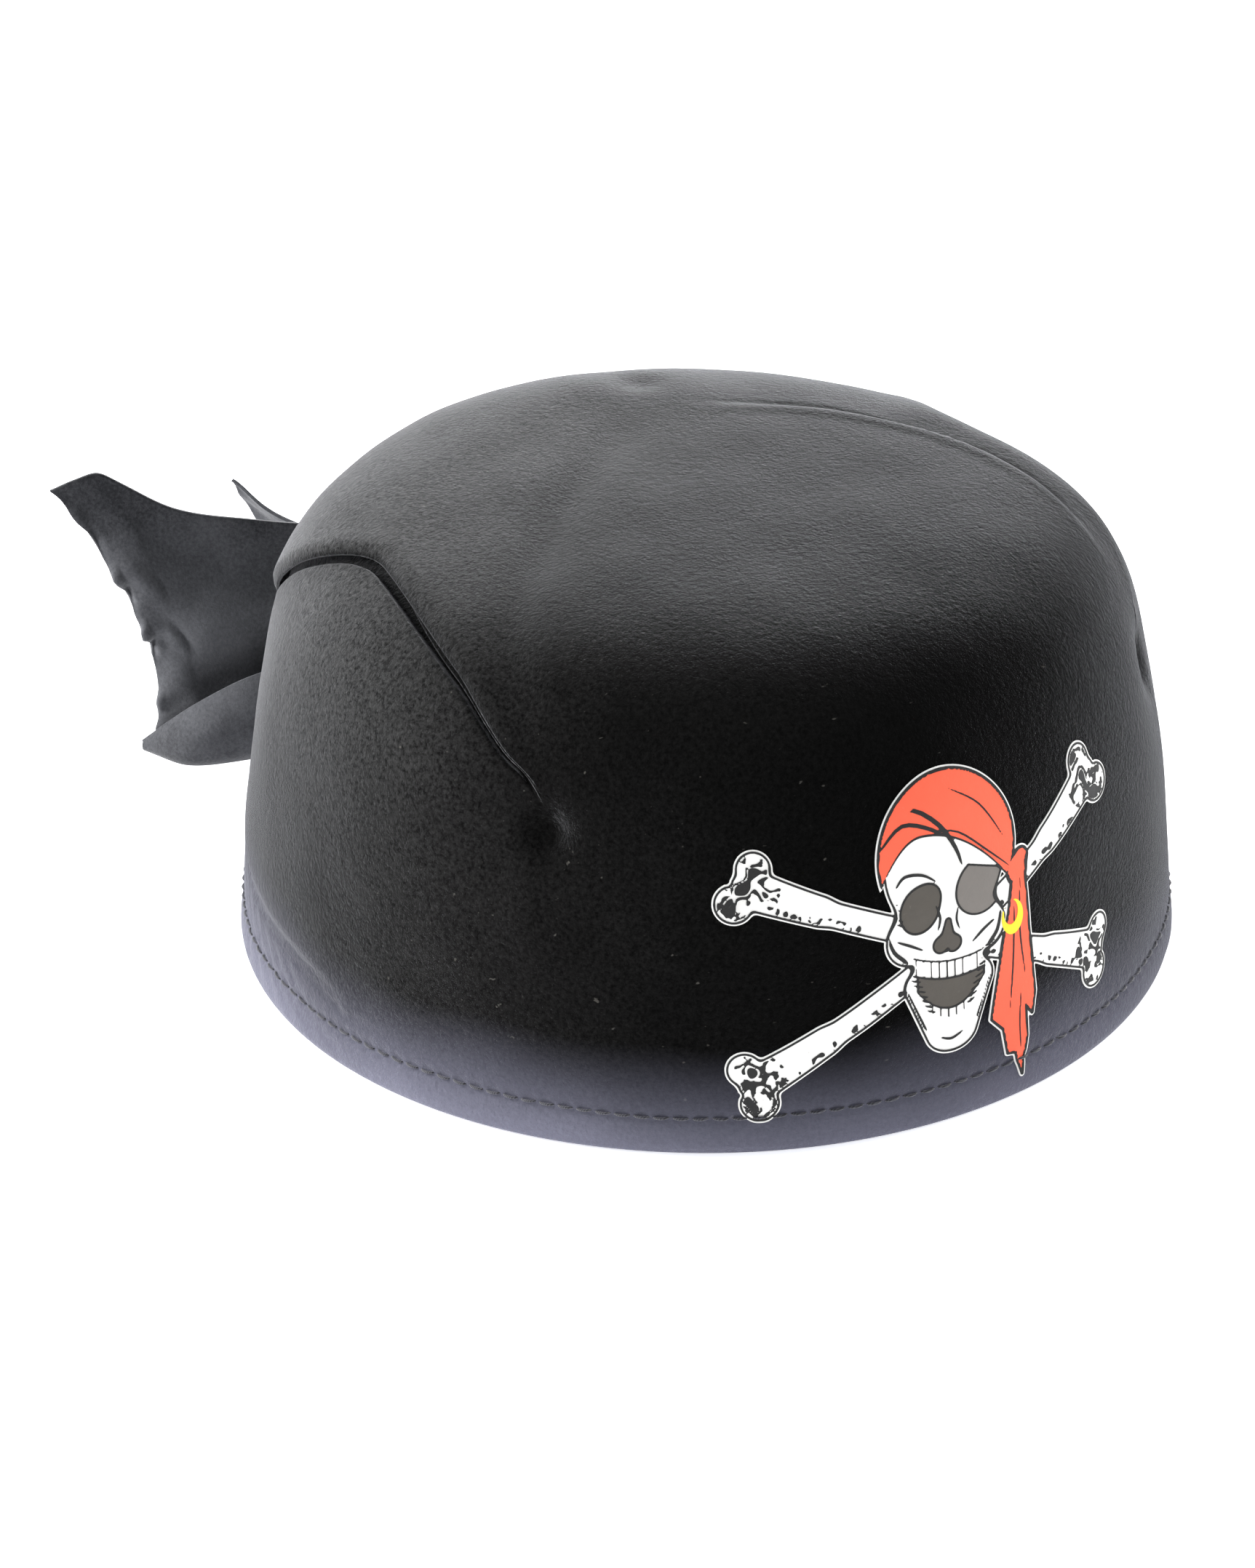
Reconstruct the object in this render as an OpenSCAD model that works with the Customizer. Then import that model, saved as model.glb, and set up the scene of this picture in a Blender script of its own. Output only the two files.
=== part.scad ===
// Moulded felt bandana cap for a pirate costume.
// +X is the front (emblem), +Y the wearer's left, +Z up. The origin is the centre of the rim's
// resting plane. Millimetres.

/* [Cap] */
// Outer radius of the rim
rim_r = 98; // [92:1:104]
// Height of the crown above the resting plane
crown_h = 97; // [90:1:104]
// How much the wall leans in between rim and top, as a share of the radius
taper = 0.083; // [0.05:0.005:0.1]
// Squareness of the shoulder: 2 is a half ball, higher is boxier
boxiness = 5.4; // [4:0.2:6]
// Thickness of the outer felt
felt_t = 1.2; // [0.8:0.1:1.4]

/* [Side pleats] */
// Step from the folded lip down to the side panel
lip_step = 2.5; // [1.5:0.1:2.5]
// Angle from the front at which each lip ends in its dimple
dimple_angle = 52; // [48:1:56]
// Depth of the soft crease above each lip
crease_depth = 1.2; // [0:0.1:1.4]

/* [Inside] */
// Gap behind the felt, for the lips and the turned hem
felt_gap = 2.7; // [2.6:0.1:3]
// Thickness of the stiffener shell
stiffener_t = 1.5; // [1:0.1:2]
// Thickness of the lining cloth
lining_t = 0.6; // [0.4:0.1:0.8]
// Thickness of the sweatband
sweatband_t = 1.0; // [0.6:0.1:1.2]
// Height of the sweatband's free edge
sweatband_h = 32; // [24:1:36]

/* [Hem] */
// Height of the turned-up hem inside
hem_h = 12; // [10:1:16]
// Height of the stitch row above the resting plane
stitch_z = 8; // [6:0.5:9]
// Stitches round the rim
stitch_count = 160; // [120:4:180]
// Length of one stitch
stitch_l = 3; // [2:0.5:3.5]

/* [Knot and tails] */
// Height of the knot's centre
knot_z = 45; // [42:1:48]
// Radius of the knot
knot_r = 8; // [7:0.5:9]
// Length of the knot
knot_l = 26; // [22:1:28]
// Thickness of the tail cloth
tail_t = 1.2; // [0.8:0.1:1.4]

/* [Emblem] */
// Turn of the emblem away from the exact front
emblem_turn = -2.5; // [-8:0.5:0]
// Height at which the two bones cross
cross_z = 38.5; // [38:0.5:42]
// Half the width across the bones
bone_reach = 40.5; // [36:0.5:42]
// Half the height between the bones' ends
bone_rise = 19.5; // [18:0.5:22]
// Tilt of the emblem, its left side (the wearer's) higher
emblem_tilt = 3; // [0:1:6]

/* [Hidden] */

gap = 0.15;                    // air between neighbouring layers
cover_steps = 64;              // facets round the cover
low_rows = 11;                 // rows from hem to lip
high_rows = 12;                // rows from lip to top
dome_rows = 16;                // bands of each inner dome

// Offsets of the layers from the nominal outer surface, inwards
stiffener_out = felt_t + felt_gap;
lining_out = stiffener_out + stiffener_t + gap;
sweatband_out = lining_out + lining_t + gap;
sweatband_in = sweatband_out + sweatband_t;

// Lip: its height angle at the dimple, at its crest and where both sides meet at the back
lip_a_dimple = 34.6;
lip_a_crest = 50.3;
lip_a_back = 28;
lip_front_rise = 0.66;         // how soon each lip rises behind its dimple
lip_back_fall = 5.5;           // how soon each lip sinks behind its crest
lip_crest_angle = 100;

// Crease: from the dimple up to the pinched peak on top
crease_a_low = 36;
crease_a_high = 66;
crease_end_angle = 155;

// The knot stands just off the back wall
knot_x = -(rim_r * (1 - taper * knot_z / crown_h) + knot_r + 0.5);

// ---- The nominal surface: a super-ellipse dome whose wall leans in ----

function unit_profile(a) =
    let (k = pow(pow(cos(a), boxiness) + pow(sin(a), boxiness), -1 / boxiness))
    [cos(a) * k, sin(a) * k];

// Radius and height at height angle a, moved inwards by inset
function profile(a, inset = 0) =
    let (p = unit_profile(a))
    [(rim_r - inset) * p[0] * (1 - taper * p[1]), (crown_h - inset) * p[1]];

// Height angle at which the surface, moved inwards by inset, reaches height z
function angle_at(z, inset = 0) =
    let (s = z / (crown_h - inset))
    atan2(s, pow(1 - pow(s, boxiness), 1 / boxiness));

function clamp01(t) = max(0, min(1, t));
function smooth(t) = let (c = clamp01(t)) c * c * (3 - 2 * c);
function side_angle(th) = abs(th > 180 ? th - 360 : th);

// ---- Pleat lines, as height angle against the angle from the front ----

function lip_a(th) =
    let (q = side_angle(th))
    q <= dimple_angle ? lip_a_dimple
    : q <= lip_crest_angle
        ? lip_a_dimple + (lip_a_crest - lip_a_dimple)
            * pow(sin(90 * (q - dimple_angle) / (lip_crest_angle - dimple_angle)), lip_front_rise)
        : lip_a_back + (lip_a_crest - lip_a_back)
            * pow(cos(90 * (q - lip_crest_angle) / (180 - lip_crest_angle)), lip_back_fall);

function crease_a(th) =
    let (q = clamp01((side_angle(th) - dimple_angle + 2) / 100))
    crease_a_low + (crease_a_high - crease_a_low) * pow(q, 0.36);

// How far the cover stands off the nominal surface
function lip_share(th) = smooth((side_angle(th) - dimple_angle) / 14);
function below_lip(th, a) =
    -(lip_step - 0.5) * lip_share(th) * smooth((a - 9) / (0.75 * lip_a(th) - 9));
function above_lip(th, a) =
    let (span = max(crease_a(th) - lip_a(th), 4), t = (a - lip_a(th)) / span,
         crease = lip_share(th) * exp(-pow((t - 1) * span / 5, 2))
            * smooth((crease_end_angle + 15 - side_angle(th)) / 30))
    0.5 * lip_share(th) * smooth(1.6 - t) - crease_depth * crease;

// ---- Shells ----

// One row of the cover: row counts up from the hem, and two rows share the lip
function row_angle(row, th, inset) =
    let (a0 = angle_at(felt_t + gap, inset), lip = lip_a(th))
    row <= low_rows ? a0 + (lip - a0) * row / low_rows
    : lip + 1 + (89 - lip - 1) * (row - low_rows - 1) / high_rows;

function cover_point(row, i, inset) =
    let (th = 360 * i / cover_steps, a = row_angle(row, th, inset),
         d = row <= low_rows ? below_lip(th, a) : above_lip(th, a),
         p = profile(a, inset - d))
    [p[0] * cos(th), p[0] * sin(th), p[1]];

cover_rows = low_rows + high_rows + 2;
function cover_sheet(inset) = [
    for (row = [0 : cover_rows - 1], i = [0 : cover_steps - 1]) cover_point(row, i, inset)
];
function ring_faces(first, flip) = [
    for (row = [0 : cover_rows - 2], i = [0 : cover_steps - 1], half = [0, 1])
        let (j = (i + 1) % cover_steps,
             a = first + row * cover_steps + i, b = first + row * cover_steps + j,
             c = b + cover_steps, d = a + cover_steps,
             face = half == 0 ? [a, d, c] : [a, c, b])
        flip ? [face[2], face[1], face[0]] : face
];

module felt_cover() {
    outer = cover_sheet(0);
    inner = cover_sheet(felt_t);
    size = len(outer);
    top_out = 2 * size;
    top_in = top_out + 1;
    last = size - cover_steps;
    points = concat(outer, inner, [[0, 0, crown_h], [0, 0, crown_h - felt_t]]);
    caps = [
        for (i = [0 : cover_steps - 1]) let (j = (i + 1) % cover_steps)
            each [[last + i, top_out, last + j],
                  [size + last + j, top_in, size + last + i],
                  [i, j, size + j], [i, size + j, size + i]]
    ];
    color("#2b2b2c")
        polyhedron(concat(points), concat(ring_faces(0, false), ring_faces(size, true), caps));
}

// A closed dome between two insets, cut off level at height z0
module dome(inset_out, inset_in, z0) {
    a_out = angle_at(z0, inset_out);
    a_in = angle_at(z0, inset_in);
    outer = [for (k = [0 : dome_rows]) profile(a_out + (90 - a_out) * k / dome_rows, inset_out)];
    inner = [for (k = [dome_rows : -1 : 0]) profile(a_in + (90 - a_in) * k / dome_rows, inset_in)];
    rotate_extrude($fn = 96)
        polygon([for (p = concat(outer, inner)) [max(p[0], 0), p[1]]]);
}

// A strip of wall between two insets and two heights
module wall_strip(inset_out, inset_in, z0, z1, rows = 4) {
    rotate_extrude($fn = 96)
        polygon(concat(
            [for (k = [0 : rows])
                profile(angle_at(z0 + (z1 - z0) * k / rows, inset_out), inset_out)],
            [for (k = [rows : -1 : 0])
                profile(angle_at(z0 + (z1 - z0) * k / rows, inset_in), inset_in)]
        ));
}

module turned_hem() {
    fold_out = felt_t + 2 * gap;
    fold_in = fold_out + felt_t;
    color("#303033") {
        difference() {
            cylinder(r = rim_r, h = felt_t, $fn = 96);
            translate([0, 0, -1])
                cylinder(r = rim_r - fold_in, h = felt_t + 2, $fn = 96);
        }
        wall_strip(fold_out, fold_in, felt_t, hem_h);
    }
}

module stiffener_shell() {
    color("#8d8a84") dome(stiffener_out, stiffener_out + stiffener_t, felt_t + gap);
}

module crown_lining() {
    color("#1d1d20") dome(lining_out, lining_out + lining_t, felt_t + gap);
}

module sweatband() {
    color("#26262a") wall_strip(sweatband_out, sweatband_in, felt_t + gap, sweatband_h);
}

// A ring of separate lying stitches at the given inset from the nominal surface
module stitch_row(inset, stitch_r) {
    r = profile(angle_at(stitch_z))[0] - inset;
    for (i = [0 : stitch_count - 1])
        rotate([0, 0, 360 * (i + 0.5) / stitch_count])
            translate([r, 0, stitch_z])
                rotate([90, 0, 0])
                    cylinder(r = stitch_r, h = stitch_l, center = true, $fn = 16);
}

module hem_stitches() {
    color("#3a3a40") stitch_row(-0.5, 0.35);
}

module sweatband_stitches() {
    color("#3a3a40") stitch_row(sweatband_in + 0.6, 0.35);
}

// A blank loop of tape, standing just inside the sweatband at the back
module size_label() {
    label_w = 16;
    label_h = 20;
    label_t = 0.5;
    x = -(profile(angle_at(sweatband_h + 2))[0] - sweatband_in - 1.4);
    color("#d9d7d0")
        translate([x, -label_w / 2, sweatband_h + 2 - label_h])
            cube([label_t, label_w, label_h]);
}

// ---- Knot ----

module knot() {
    round_r = 6;
    waist = 0.8;
    color("#232427")
        translate([knot_x, 0, knot_z - knot_l / 2])
            rotate_extrude($fn = 48)
                polygon(concat(
                    [[0, 0]],
                    [for (k = [0 : 6]) let (a = -90 + 15 * k)
                        [knot_r - round_r + round_r * cos(a), round_r + round_r * sin(a)]],
                    [[knot_r - waist, knot_l / 2]],
                    [for (k = [0 : 6]) let (a = 15 * k)
                        [knot_r - round_r + round_r * cos(a),
                         knot_l - round_r + round_r * sin(a)]],
                    [[0, knot_l]]
                ));
}

// Two bar tacks inside the lining that hold the knot on
module knot_tacks() {
    tack_r = 0.5;
    tack_l = 9;
    x = -(profile(angle_at(knot_z + tack_l / 2, lining_out), lining_out)[0] - lining_t - 1);
    color("#3a3a40")
        for (side = [-1, 1])
            translate([x, side * 4, knot_z - tack_l / 2])
                cylinder(r = tack_r, h = tack_l, $fn = 16);
}

// ---- Tails: thin sheets given by a point function of u (root to end) and w (0 to 1 across) ----

function blend(p, q, t) = p + (q - p) * t;
function unit(v) = v / norm(v);

// Right tail: the hinge line is its gathered root
right_root = [knot_x - 2.5, -(knot_r + 2.6)];
right_root_z = [36, 55];
right_low = [-121, -69, 7.5];
right_high = [-138, -80, 61];
curl_share = 0.3;

function right_point(u, w) =
    let (low = blend([right_root[0], right_root[1], right_root_z[0]], right_low, u)
             - [0, 0, 8 * sin(180 * u)],
         high = blend([right_root[0], right_root[1], right_root_z[1]], right_high, u)
             - [0, 0, 4 * sin(180 * u)],
         up = unit(high - low),
         toward = unit(cross(up, unit(right_low - [right_root[0], right_root[1], 35]))),
         turn = 20 + 130 * min(1, u / 0.35),
         curl_r = (14 - 9 * u) * 57.3 / turn,
         bow = 5 * sin(180 * u))
    (w < curl_share
        ? let (a = turn * (curl_share - w) / curl_share)
            low - curl_r * sin(a) * up + curl_r * (1 - cos(a)) * toward
        : blend(low, high, (w - curl_share) / (1 - curl_share))) - bow * toward;

// Left tail: behind the right one, with its upper corner flicked up
left_root = [knot_x - 6, knot_r + 1.5];
left_root_z = [35, 51];
left_low = [-156, -6, 5];
left_high = [-161, -27, 41];

function left_point(u, w) =
    let (low = blend([left_root[0], left_root[1], left_root_z[0]], left_low, u)
             - [0, 0, 6 * sin(180 * u)],
         high = blend([left_root[0], left_root[1], left_root_z[1]], left_high, u)
             - [0, 0, 11 * sin(180 * u)])
    blend(low, high, w) + [0, 4 * sin(180 * u) * w, 0];

function sheet_point(side, u, w) = side < 0 ? right_point(u, w) : left_point(u, w);
function sheet_normal(side, u, w) =
    let (e = 0.01, u0 = max(u, 2 * e), w0 = max(min(w, 1 - e), e),
         du = sheet_point(side, u0 + e, w0) - sheet_point(side, u0 - e, w0),
         dw = sheet_point(side, u0, w0 + e) - sheet_point(side, u0, w0 - e))
    unit(cross(du, dw));

module sheet(side, along = 12, across = 14) {
    skins = [for (skin = [-1, 1], i = [0 : along], j = [0 : across])
        sheet_point(side, i / along, j / across)
            + skin * tail_t / 2 * sheet_normal(side, i / along, j / across)];
    row = across + 1;
    size = (along + 1) * row;
    faces = [
        for (i = [0 : along - 1], j = [0 : across - 1])
            let (a = i * row + j, b = a + row, c = b + 1, d = a + 1)
            each [[a, b, c], [a, c, d], [size + c, size + b, size + a],
                  [size + d, size + c, size + a]]
    ];
    root_and_end = [
        for (j = [0 : across - 1])
            let (a = j, b = j + 1, c = along * row + j, d = c + 1)
            each [[a, b, size + b], [a, size + b, size + a],
                  [d, c, size + c], [d, size + c, size + d]]
    ];
    edges = [
        for (i = [0 : along - 1])
            let (a = i * row, b = a + row, c = a + across, d = c + row)
            each [[b, a, size + a], [b, size + a, size + b],
                  [c, d, size + d], [c, size + d, size + c]]
    ];
    polyhedron(skins, concat(faces, root_and_end, edges));
}

module right_tail() {
    color("#45474d") sheet(-1);
}

module left_tail() {
    color("#45474d") sheet(1);
}

// ---- Emblem: flat outlines pushed along X through thin shells that follow the front wall ----

// A shell from inset a to inset b round the front wall
module front_shell(inset_out, inset_in) {
    wall_strip(inset_out, inset_in, 8, 80, rows = 12);
}

// Cuts the outline (Y to the wearer's left, Z up) out of a front shell
module printed(inset_out, inset_in) {
    rotate([0, 0, emblem_turn])
        intersection() {
            front_shell(inset_out, inset_in);
            translate([40, 0, cross_z])
                rotate([90, 0, 90])
                    linear_extrude(height = 80)
                        rotate(emblem_tilt)
                            translate([0, -cross_z])
                                children();
        }
}

film_out = -0.45;
print_out = -0.7;
top_print_out = -0.95;
skull_r = 15;
skull_y = 2;
brow_z = cross_z + 18;
chin_z = cross_z - 22;

module bone_outline(dir, grow) {
    end = [bone_reach, bone_rise * dir];
    tilt = atan2(end[1], end[0]);
    half_l = norm(end);
    translate([0, cross_z])
        rotate(tilt)
            union() {
                square([2 * half_l, 5.5 + 2 * grow], center = true);
                for (x = [-1, 1], y = [-1, 1])
                    translate([x * half_l, y * 3.2]) circle(r = 3.6 + grow, $fn = 32);
            }
}

module skull_outline(grow) {
    translate([skull_y, brow_z]) circle(r = skull_r + grow, $fn = 64);
    translate([skull_y - 9 - grow, chin_z + 6])
        square([18 + 2 * grow, brow_z - chin_z - 6]);
    translate([skull_y, chin_z + 9]) circle(r = 9 + grow, $fn = 48);
}

module scarf_tail_outline(grow) {
    polygon([
        [skull_y + 11, brow_z - 1 + grow], [skull_y + 15 + grow, brow_z],
        [skull_y + 18 + grow, brow_z - 20], [skull_y + 19 + grow, brow_z - 36 - grow],
        [skull_y + 15, brow_z - 46 - grow], [skull_y + 9 - grow, brow_z - 34]
    ]);
}

module emblem_film() {
    halo = 1.2;
    color("#efeee9") printed(film_out, -gap) {
        bone_outline(1, halo);
        bone_outline(-1, halo);
        skull_outline(halo);
        scarf_tail_outline(halo);
    }
}

module emblem_red_print() {
    color("#c9402f") printed(print_out, film_out) {
        intersection() {
            translate([skull_y, brow_z]) circle(r = skull_r, $fn = 64);
            translate([skull_y - 20, brow_z + 3.5]) square([40, 20]);
        }
        scarf_tail_outline(0);
    }
}

module emblem_grey_print() {
    color("#3b3b3d") printed(print_out, film_out) {
        translate([skull_y - 6, brow_z - 6]) circle(r = 4, $fn = 32);
        translate([skull_y + 5.5, brow_z - 5]) circle(r = 4.6, $fn = 32);
        translate([skull_y, brow_z - 14])
            polygon([[-2.2, -2.5], [2.2, -2.5], [0, 3.5]]);
        translate([skull_y - 6, chin_z + 6]) square([12, 3.5]);
    }
}

module emblem_yellow_print() {
    color("#e5c21f") printed(top_print_out, print_out)
        translate([skull_y + 15, brow_z - 16])
            difference() {
                circle(r = 3.2, $fn = 32);
                circle(r = 1.8, $fn = 32);
            }
}

felt_cover();
turned_hem();
hem_stitches();
stiffener_shell();
crown_lining();
sweatband();
sweatband_stitches();
size_label();
knot();
knot_tacks();
right_tail();
left_tail();
emblem_film();
emblem_red_print();
emblem_grey_print();
emblem_yellow_print();
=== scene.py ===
"""Looks for the moulded felt bandana cap: +X front, +Y wearer's left, +Z up, metres."""
import math

import bmesh
import bpy
import numpy as np
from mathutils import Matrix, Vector


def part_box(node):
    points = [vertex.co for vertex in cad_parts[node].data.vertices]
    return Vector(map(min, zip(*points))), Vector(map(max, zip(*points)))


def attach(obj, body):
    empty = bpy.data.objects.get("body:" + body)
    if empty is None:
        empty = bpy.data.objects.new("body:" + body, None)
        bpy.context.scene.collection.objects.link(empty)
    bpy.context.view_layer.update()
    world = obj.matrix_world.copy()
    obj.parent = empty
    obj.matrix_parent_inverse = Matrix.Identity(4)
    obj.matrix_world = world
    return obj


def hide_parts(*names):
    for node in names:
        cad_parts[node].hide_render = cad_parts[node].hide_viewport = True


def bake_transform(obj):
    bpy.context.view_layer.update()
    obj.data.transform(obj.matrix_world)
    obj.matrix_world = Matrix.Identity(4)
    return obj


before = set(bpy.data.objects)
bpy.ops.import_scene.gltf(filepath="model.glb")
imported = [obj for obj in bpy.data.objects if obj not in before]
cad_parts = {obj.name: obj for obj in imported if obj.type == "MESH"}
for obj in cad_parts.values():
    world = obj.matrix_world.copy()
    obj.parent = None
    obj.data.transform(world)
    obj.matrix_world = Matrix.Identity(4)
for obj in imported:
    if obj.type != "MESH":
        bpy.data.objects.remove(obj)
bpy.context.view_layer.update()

MM = 0.001
DEG = math.pi / 180

# ---------------------------------------------------------------- nominal surface

RIM_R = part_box("turned_hem")[1][0]
CROWN_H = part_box("felt_cover")[1][2]
TAPER = 0.083
BOXINESS = 5.4

# Layers, as insets from the outer surface
FELT_T = 1.2 * MM
COVER_IN = 4.0 * MM
STIFFENER_OUT = 4.15 * MM
STIFFENER_IN = 5.4 * MM
LINING_OUT = 5.6 * MM
LINING_IN = 6.15 * MM
SWEATBAND_OUT = 6.3 * MM
SWEATBAND_IN = 7.3 * MM

# Stitching
STITCH_Z = 8 * MM
STITCHES = 160
STITCH_LENGTH = 3.0 * MM
THREAD_R = 0.26 * MM

# Pleats: angles from the front, and height angles of the lip and the crease
DIMPLE_ANGLE = 52 * DEG
LIP_CREST_ANGLE = 100 * DEG
LIP_FRONT_RISE = 0.66
LIP_BACK_FALL = 5.5
LIP_A_DIMPLE, LIP_A_CREST, LIP_A_BACK = 34.6 * DEG, 50.3 * DEG, 28 * DEG
CREASE_A_LOW, CREASE_A_HIGH = 36 * DEG, 66 * DEG


def clamp01(t):
    return np.clip(t, 0, 1)


def smooth(t):
    t = clamp01(t)
    return t * t * (3 - 2 * t)


def bell(distance, width):
    return np.exp(-((distance / width) ** 2))


def profile(a):
    """Radius and height of the dome at height angle a."""
    c, s = np.cos(a), np.sin(a)
    k = (np.abs(c) ** BOXINESS + np.abs(s) ** BOXINESS) ** (-1 / BOXINESS)
    c, s = c * k, s * k
    return RIM_R * c * (1 - TAPER * s), CROWN_H * s


def angle_at(z):
    """Height angle of the dome's point at height z."""
    s = np.asarray(z, float) / CROWN_H
    return np.arctan2(s, (1 - np.abs(s) ** BOXINESS) ** (1 / BOXINESS))


def slope(a):
    """Metres along the profile for one radian of height angle, and the profile's normal."""
    half_step = 0.004
    r0, z0 = profile(a - half_step)
    r1, z1 = profile(a + half_step)
    run, rise = r1 - r0, z1 - z0
    length = np.hypot(run, rise)
    return length / (2 * half_step), rise / length, -run / length


def place(theta, a, out):
    """Points out from the dome by out, at turn theta and height angle a."""
    r, z = profile(a)
    _, nr, nz = slope(a)
    r = r + out * nr
    z = z + out * nz
    return np.stack([r * np.cos(theta), r * np.sin(theta), z + 0 * theta], -1)


def side_angle(theta):
    """Angle from the front, 0 to pi on either side."""
    return np.abs((theta + math.pi) % (2 * math.pi) - math.pi)


def lip_a(theta):
    """Height angle of the pleat's lip, low at the dimple and at the back."""
    q = side_angle(theta)
    rise = clamp01((q - DIMPLE_ANGLE) / (LIP_CREST_ANGLE - DIMPLE_ANGLE))
    fall = clamp01((q - LIP_CREST_ANGLE) / (math.pi - LIP_CREST_ANGLE))
    front = LIP_A_DIMPLE + (LIP_A_CREST - LIP_A_DIMPLE) * np.sin(rise * math.pi / 2) ** LIP_FRONT_RISE
    back = LIP_A_BACK + (LIP_A_CREST - LIP_A_BACK) * np.cos(fall * math.pi / 2) ** LIP_BACK_FALL
    rolled = 0.9 * DEG * smooth((q - 58 * DEG) / (12 * DEG)) * smooth((118 * DEG - q) / (20 * DEG))
    return np.where(q < LIP_CREST_ANGLE, front, back) + rolled


def crease_a(theta):
    """Height angle of the crease that climbs from the dimple over the crown's side."""
    q = clamp01((side_angle(theta) - DIMPLE_ANGLE + 2 * DEG) / (100 * DEG))
    return CREASE_A_LOW + (CREASE_A_HIGH - CREASE_A_LOW) * q ** 0.36


def lumps(p, size, seed):
    """A soft random field from about -1 to 1 over points p, with lumps of about that size."""
    rng = np.random.default_rng(seed)
    total = np.zeros(p.shape[:-1])
    waves = 7
    for _ in range(waves):
        direction = rng.normal(size=3)
        direction /= np.linalg.norm(direction)
        wave = 2 * math.pi / (size * rng.uniform(0.8, 2.2))
        total += np.sin(p @ direction * wave + rng.uniform(0, 2 * math.pi))
    return total / waves * 1.6


def through(points, t):
    """Points of a smooth curve through the given ones, at t from 0 to 1 (Catmull-Rom)."""
    points = np.asarray(points, float)
    n = len(points) - 1
    at = np.clip(np.asarray(t, float) * n, 0, n - 1e-9)
    i = at.astype(int)
    f = (at - i)[..., None]
    p0, p1 = points[np.maximum(i - 1, 0)], points[i]
    p2, p3 = points[i + 1], points[np.minimum(i + 2, n)]
    return 0.5 * (2 * p1 + (p2 - p0) * f + (2 * p0 - 5 * p1 + 4 * p2 - p3) * f ** 2
                  + (3 * p1 - p0 - 3 * p2 + p3) * f ** 3)


def distance_to(p, line):
    """Distance from points p to a line of short stretches, and how far along it is."""
    best = np.full(p.shape[:-1], 1e9)
    where = np.zeros(p.shape[:-1])
    for i, (a, b) in enumerate(zip(line, line[1:])):
        d = b - a
        t = clamp01(((p - a) @ d) / (d @ d))
        away = np.linalg.norm(p - a - t[..., None] * d, axis=-1)
        closer = away < best
        best = np.where(closer, away, best)
        where = np.where(closer, (i + t) / (len(line) - 1), where)
    return best, where


def surface_line(knots, points=40):
    """A smooth line on the dome through (turn in degrees, height in mm) knots."""
    knots = np.array(knots, float)
    at = np.linspace(0, 1, len(knots))
    t = np.linspace(0, 1, points)
    theta = np.interp(t, at, knots[:, 0]) * DEG
    z = np.interp(t, at, knots[:, 1]) * MM
    for _ in range(4):
        theta[1:-1] = (theta[:-2] + 2 * theta[1:-1] + theta[2:]) / 4
        z[1:-1] = (z[:-2] + 2 * z[1:-1] + z[2:]) / 4
    return place(theta, angle_at(z), 0 * theta)


# ---------------------------------------------------------------- mesh helpers

def unit(v, least=1e-12):
    """Vectors of length 1, or short where their length is not far above least."""
    return v / (np.linalg.norm(v, axis=-1, keepdims=True) + least)


def sheet_normal(centre, least=1e-12):
    return unit(np.cross(np.gradient(centre, axis=0), np.gradient(centre, axis=1)), least)


def make(name, points, faces, body="cap", smooth_shade=True):
    mesh = bpy.data.meshes.new(name)
    mesh.from_pydata([tuple(p) for p in np.asarray(points).reshape(-1, 3)], [], faces)
    mesh.validate()
    outward = bmesh.new()
    outward.from_mesh(mesh)
    bmesh.ops.recalc_face_normals(outward, faces=outward.faces)
    outward.to_mesh(mesh)
    outward.free()
    mesh.update()
    obj = bpy.data.objects.new(name, mesh)
    bpy.context.scene.collection.objects.link(obj)
    if smooth_shade:
        mesh.shade_smooth()
    if body:
        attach(obj, body)
    return obj


def mark(obj, name, values):
    """A number per point for the materials to read; points past the list's end get its last."""
    values = np.asarray(values, np.float32).ravel()
    full = np.full(len(obj.data.vertices), values[-1], np.float32)
    full[:len(values)] = values
    obj.data.attributes.new(name, "FLOAT", "POINT").data.foreach_set("value", full)


def grid_faces(rows, columns, first=0, wrap=False, flip=False):
    """Quads over a grid of rows x columns points, closed round the columns if wrap."""
    i, j = np.meshgrid(np.arange(rows - 1), np.arange(columns if wrap else columns - 1),
                       indexing="ij")
    k = (j + 1) % columns
    quads = np.stack([i * columns + j, i * columns + k, (i + 1) * columns + k,
                      (i + 1) * columns + j], -1).reshape(-1, 4) + first
    return [tuple(q[::-1] if flip else q) for q in quads.tolist()]


def loop_shell(name, rows, pole_top=None):
    """A closed skin from rows of points, each a full turn round the cap: the last row joins
    the first. Where pole_top is a pair of row numbers, those two rows end at poles."""
    count, columns = len(rows), len(rows[0])
    points = np.concatenate(rows)
    points[:, 2] = np.maximum(points[:, 2], 0)
    faces = grid_faces(count, columns, wrap=True)
    last = (count - 1) * columns
    if not pole_top:
        faces += [(last + j, last + (j + 1) % columns, (j + 1) % columns, j)
                  for j in range(columns)]
        return make(name, points, faces)
    out_row, in_row = pole_top
    faces = [f for f in faces if f[0] // columns != out_row]
    top = [points[row * columns:(row + 1) * columns].mean(0) for row in (out_row, in_row)]
    first = len(points)
    points = np.concatenate([points, top])
    for j in range(columns):
        k = (j + 1) % columns
        faces.append((out_row * columns + j, out_row * columns + k, first))
        faces.append((in_row * columns + k, in_row * columns + j, first + 1))
        faces.append((last + j, last + k, k, j))
    return make(name, points, faces)


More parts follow.
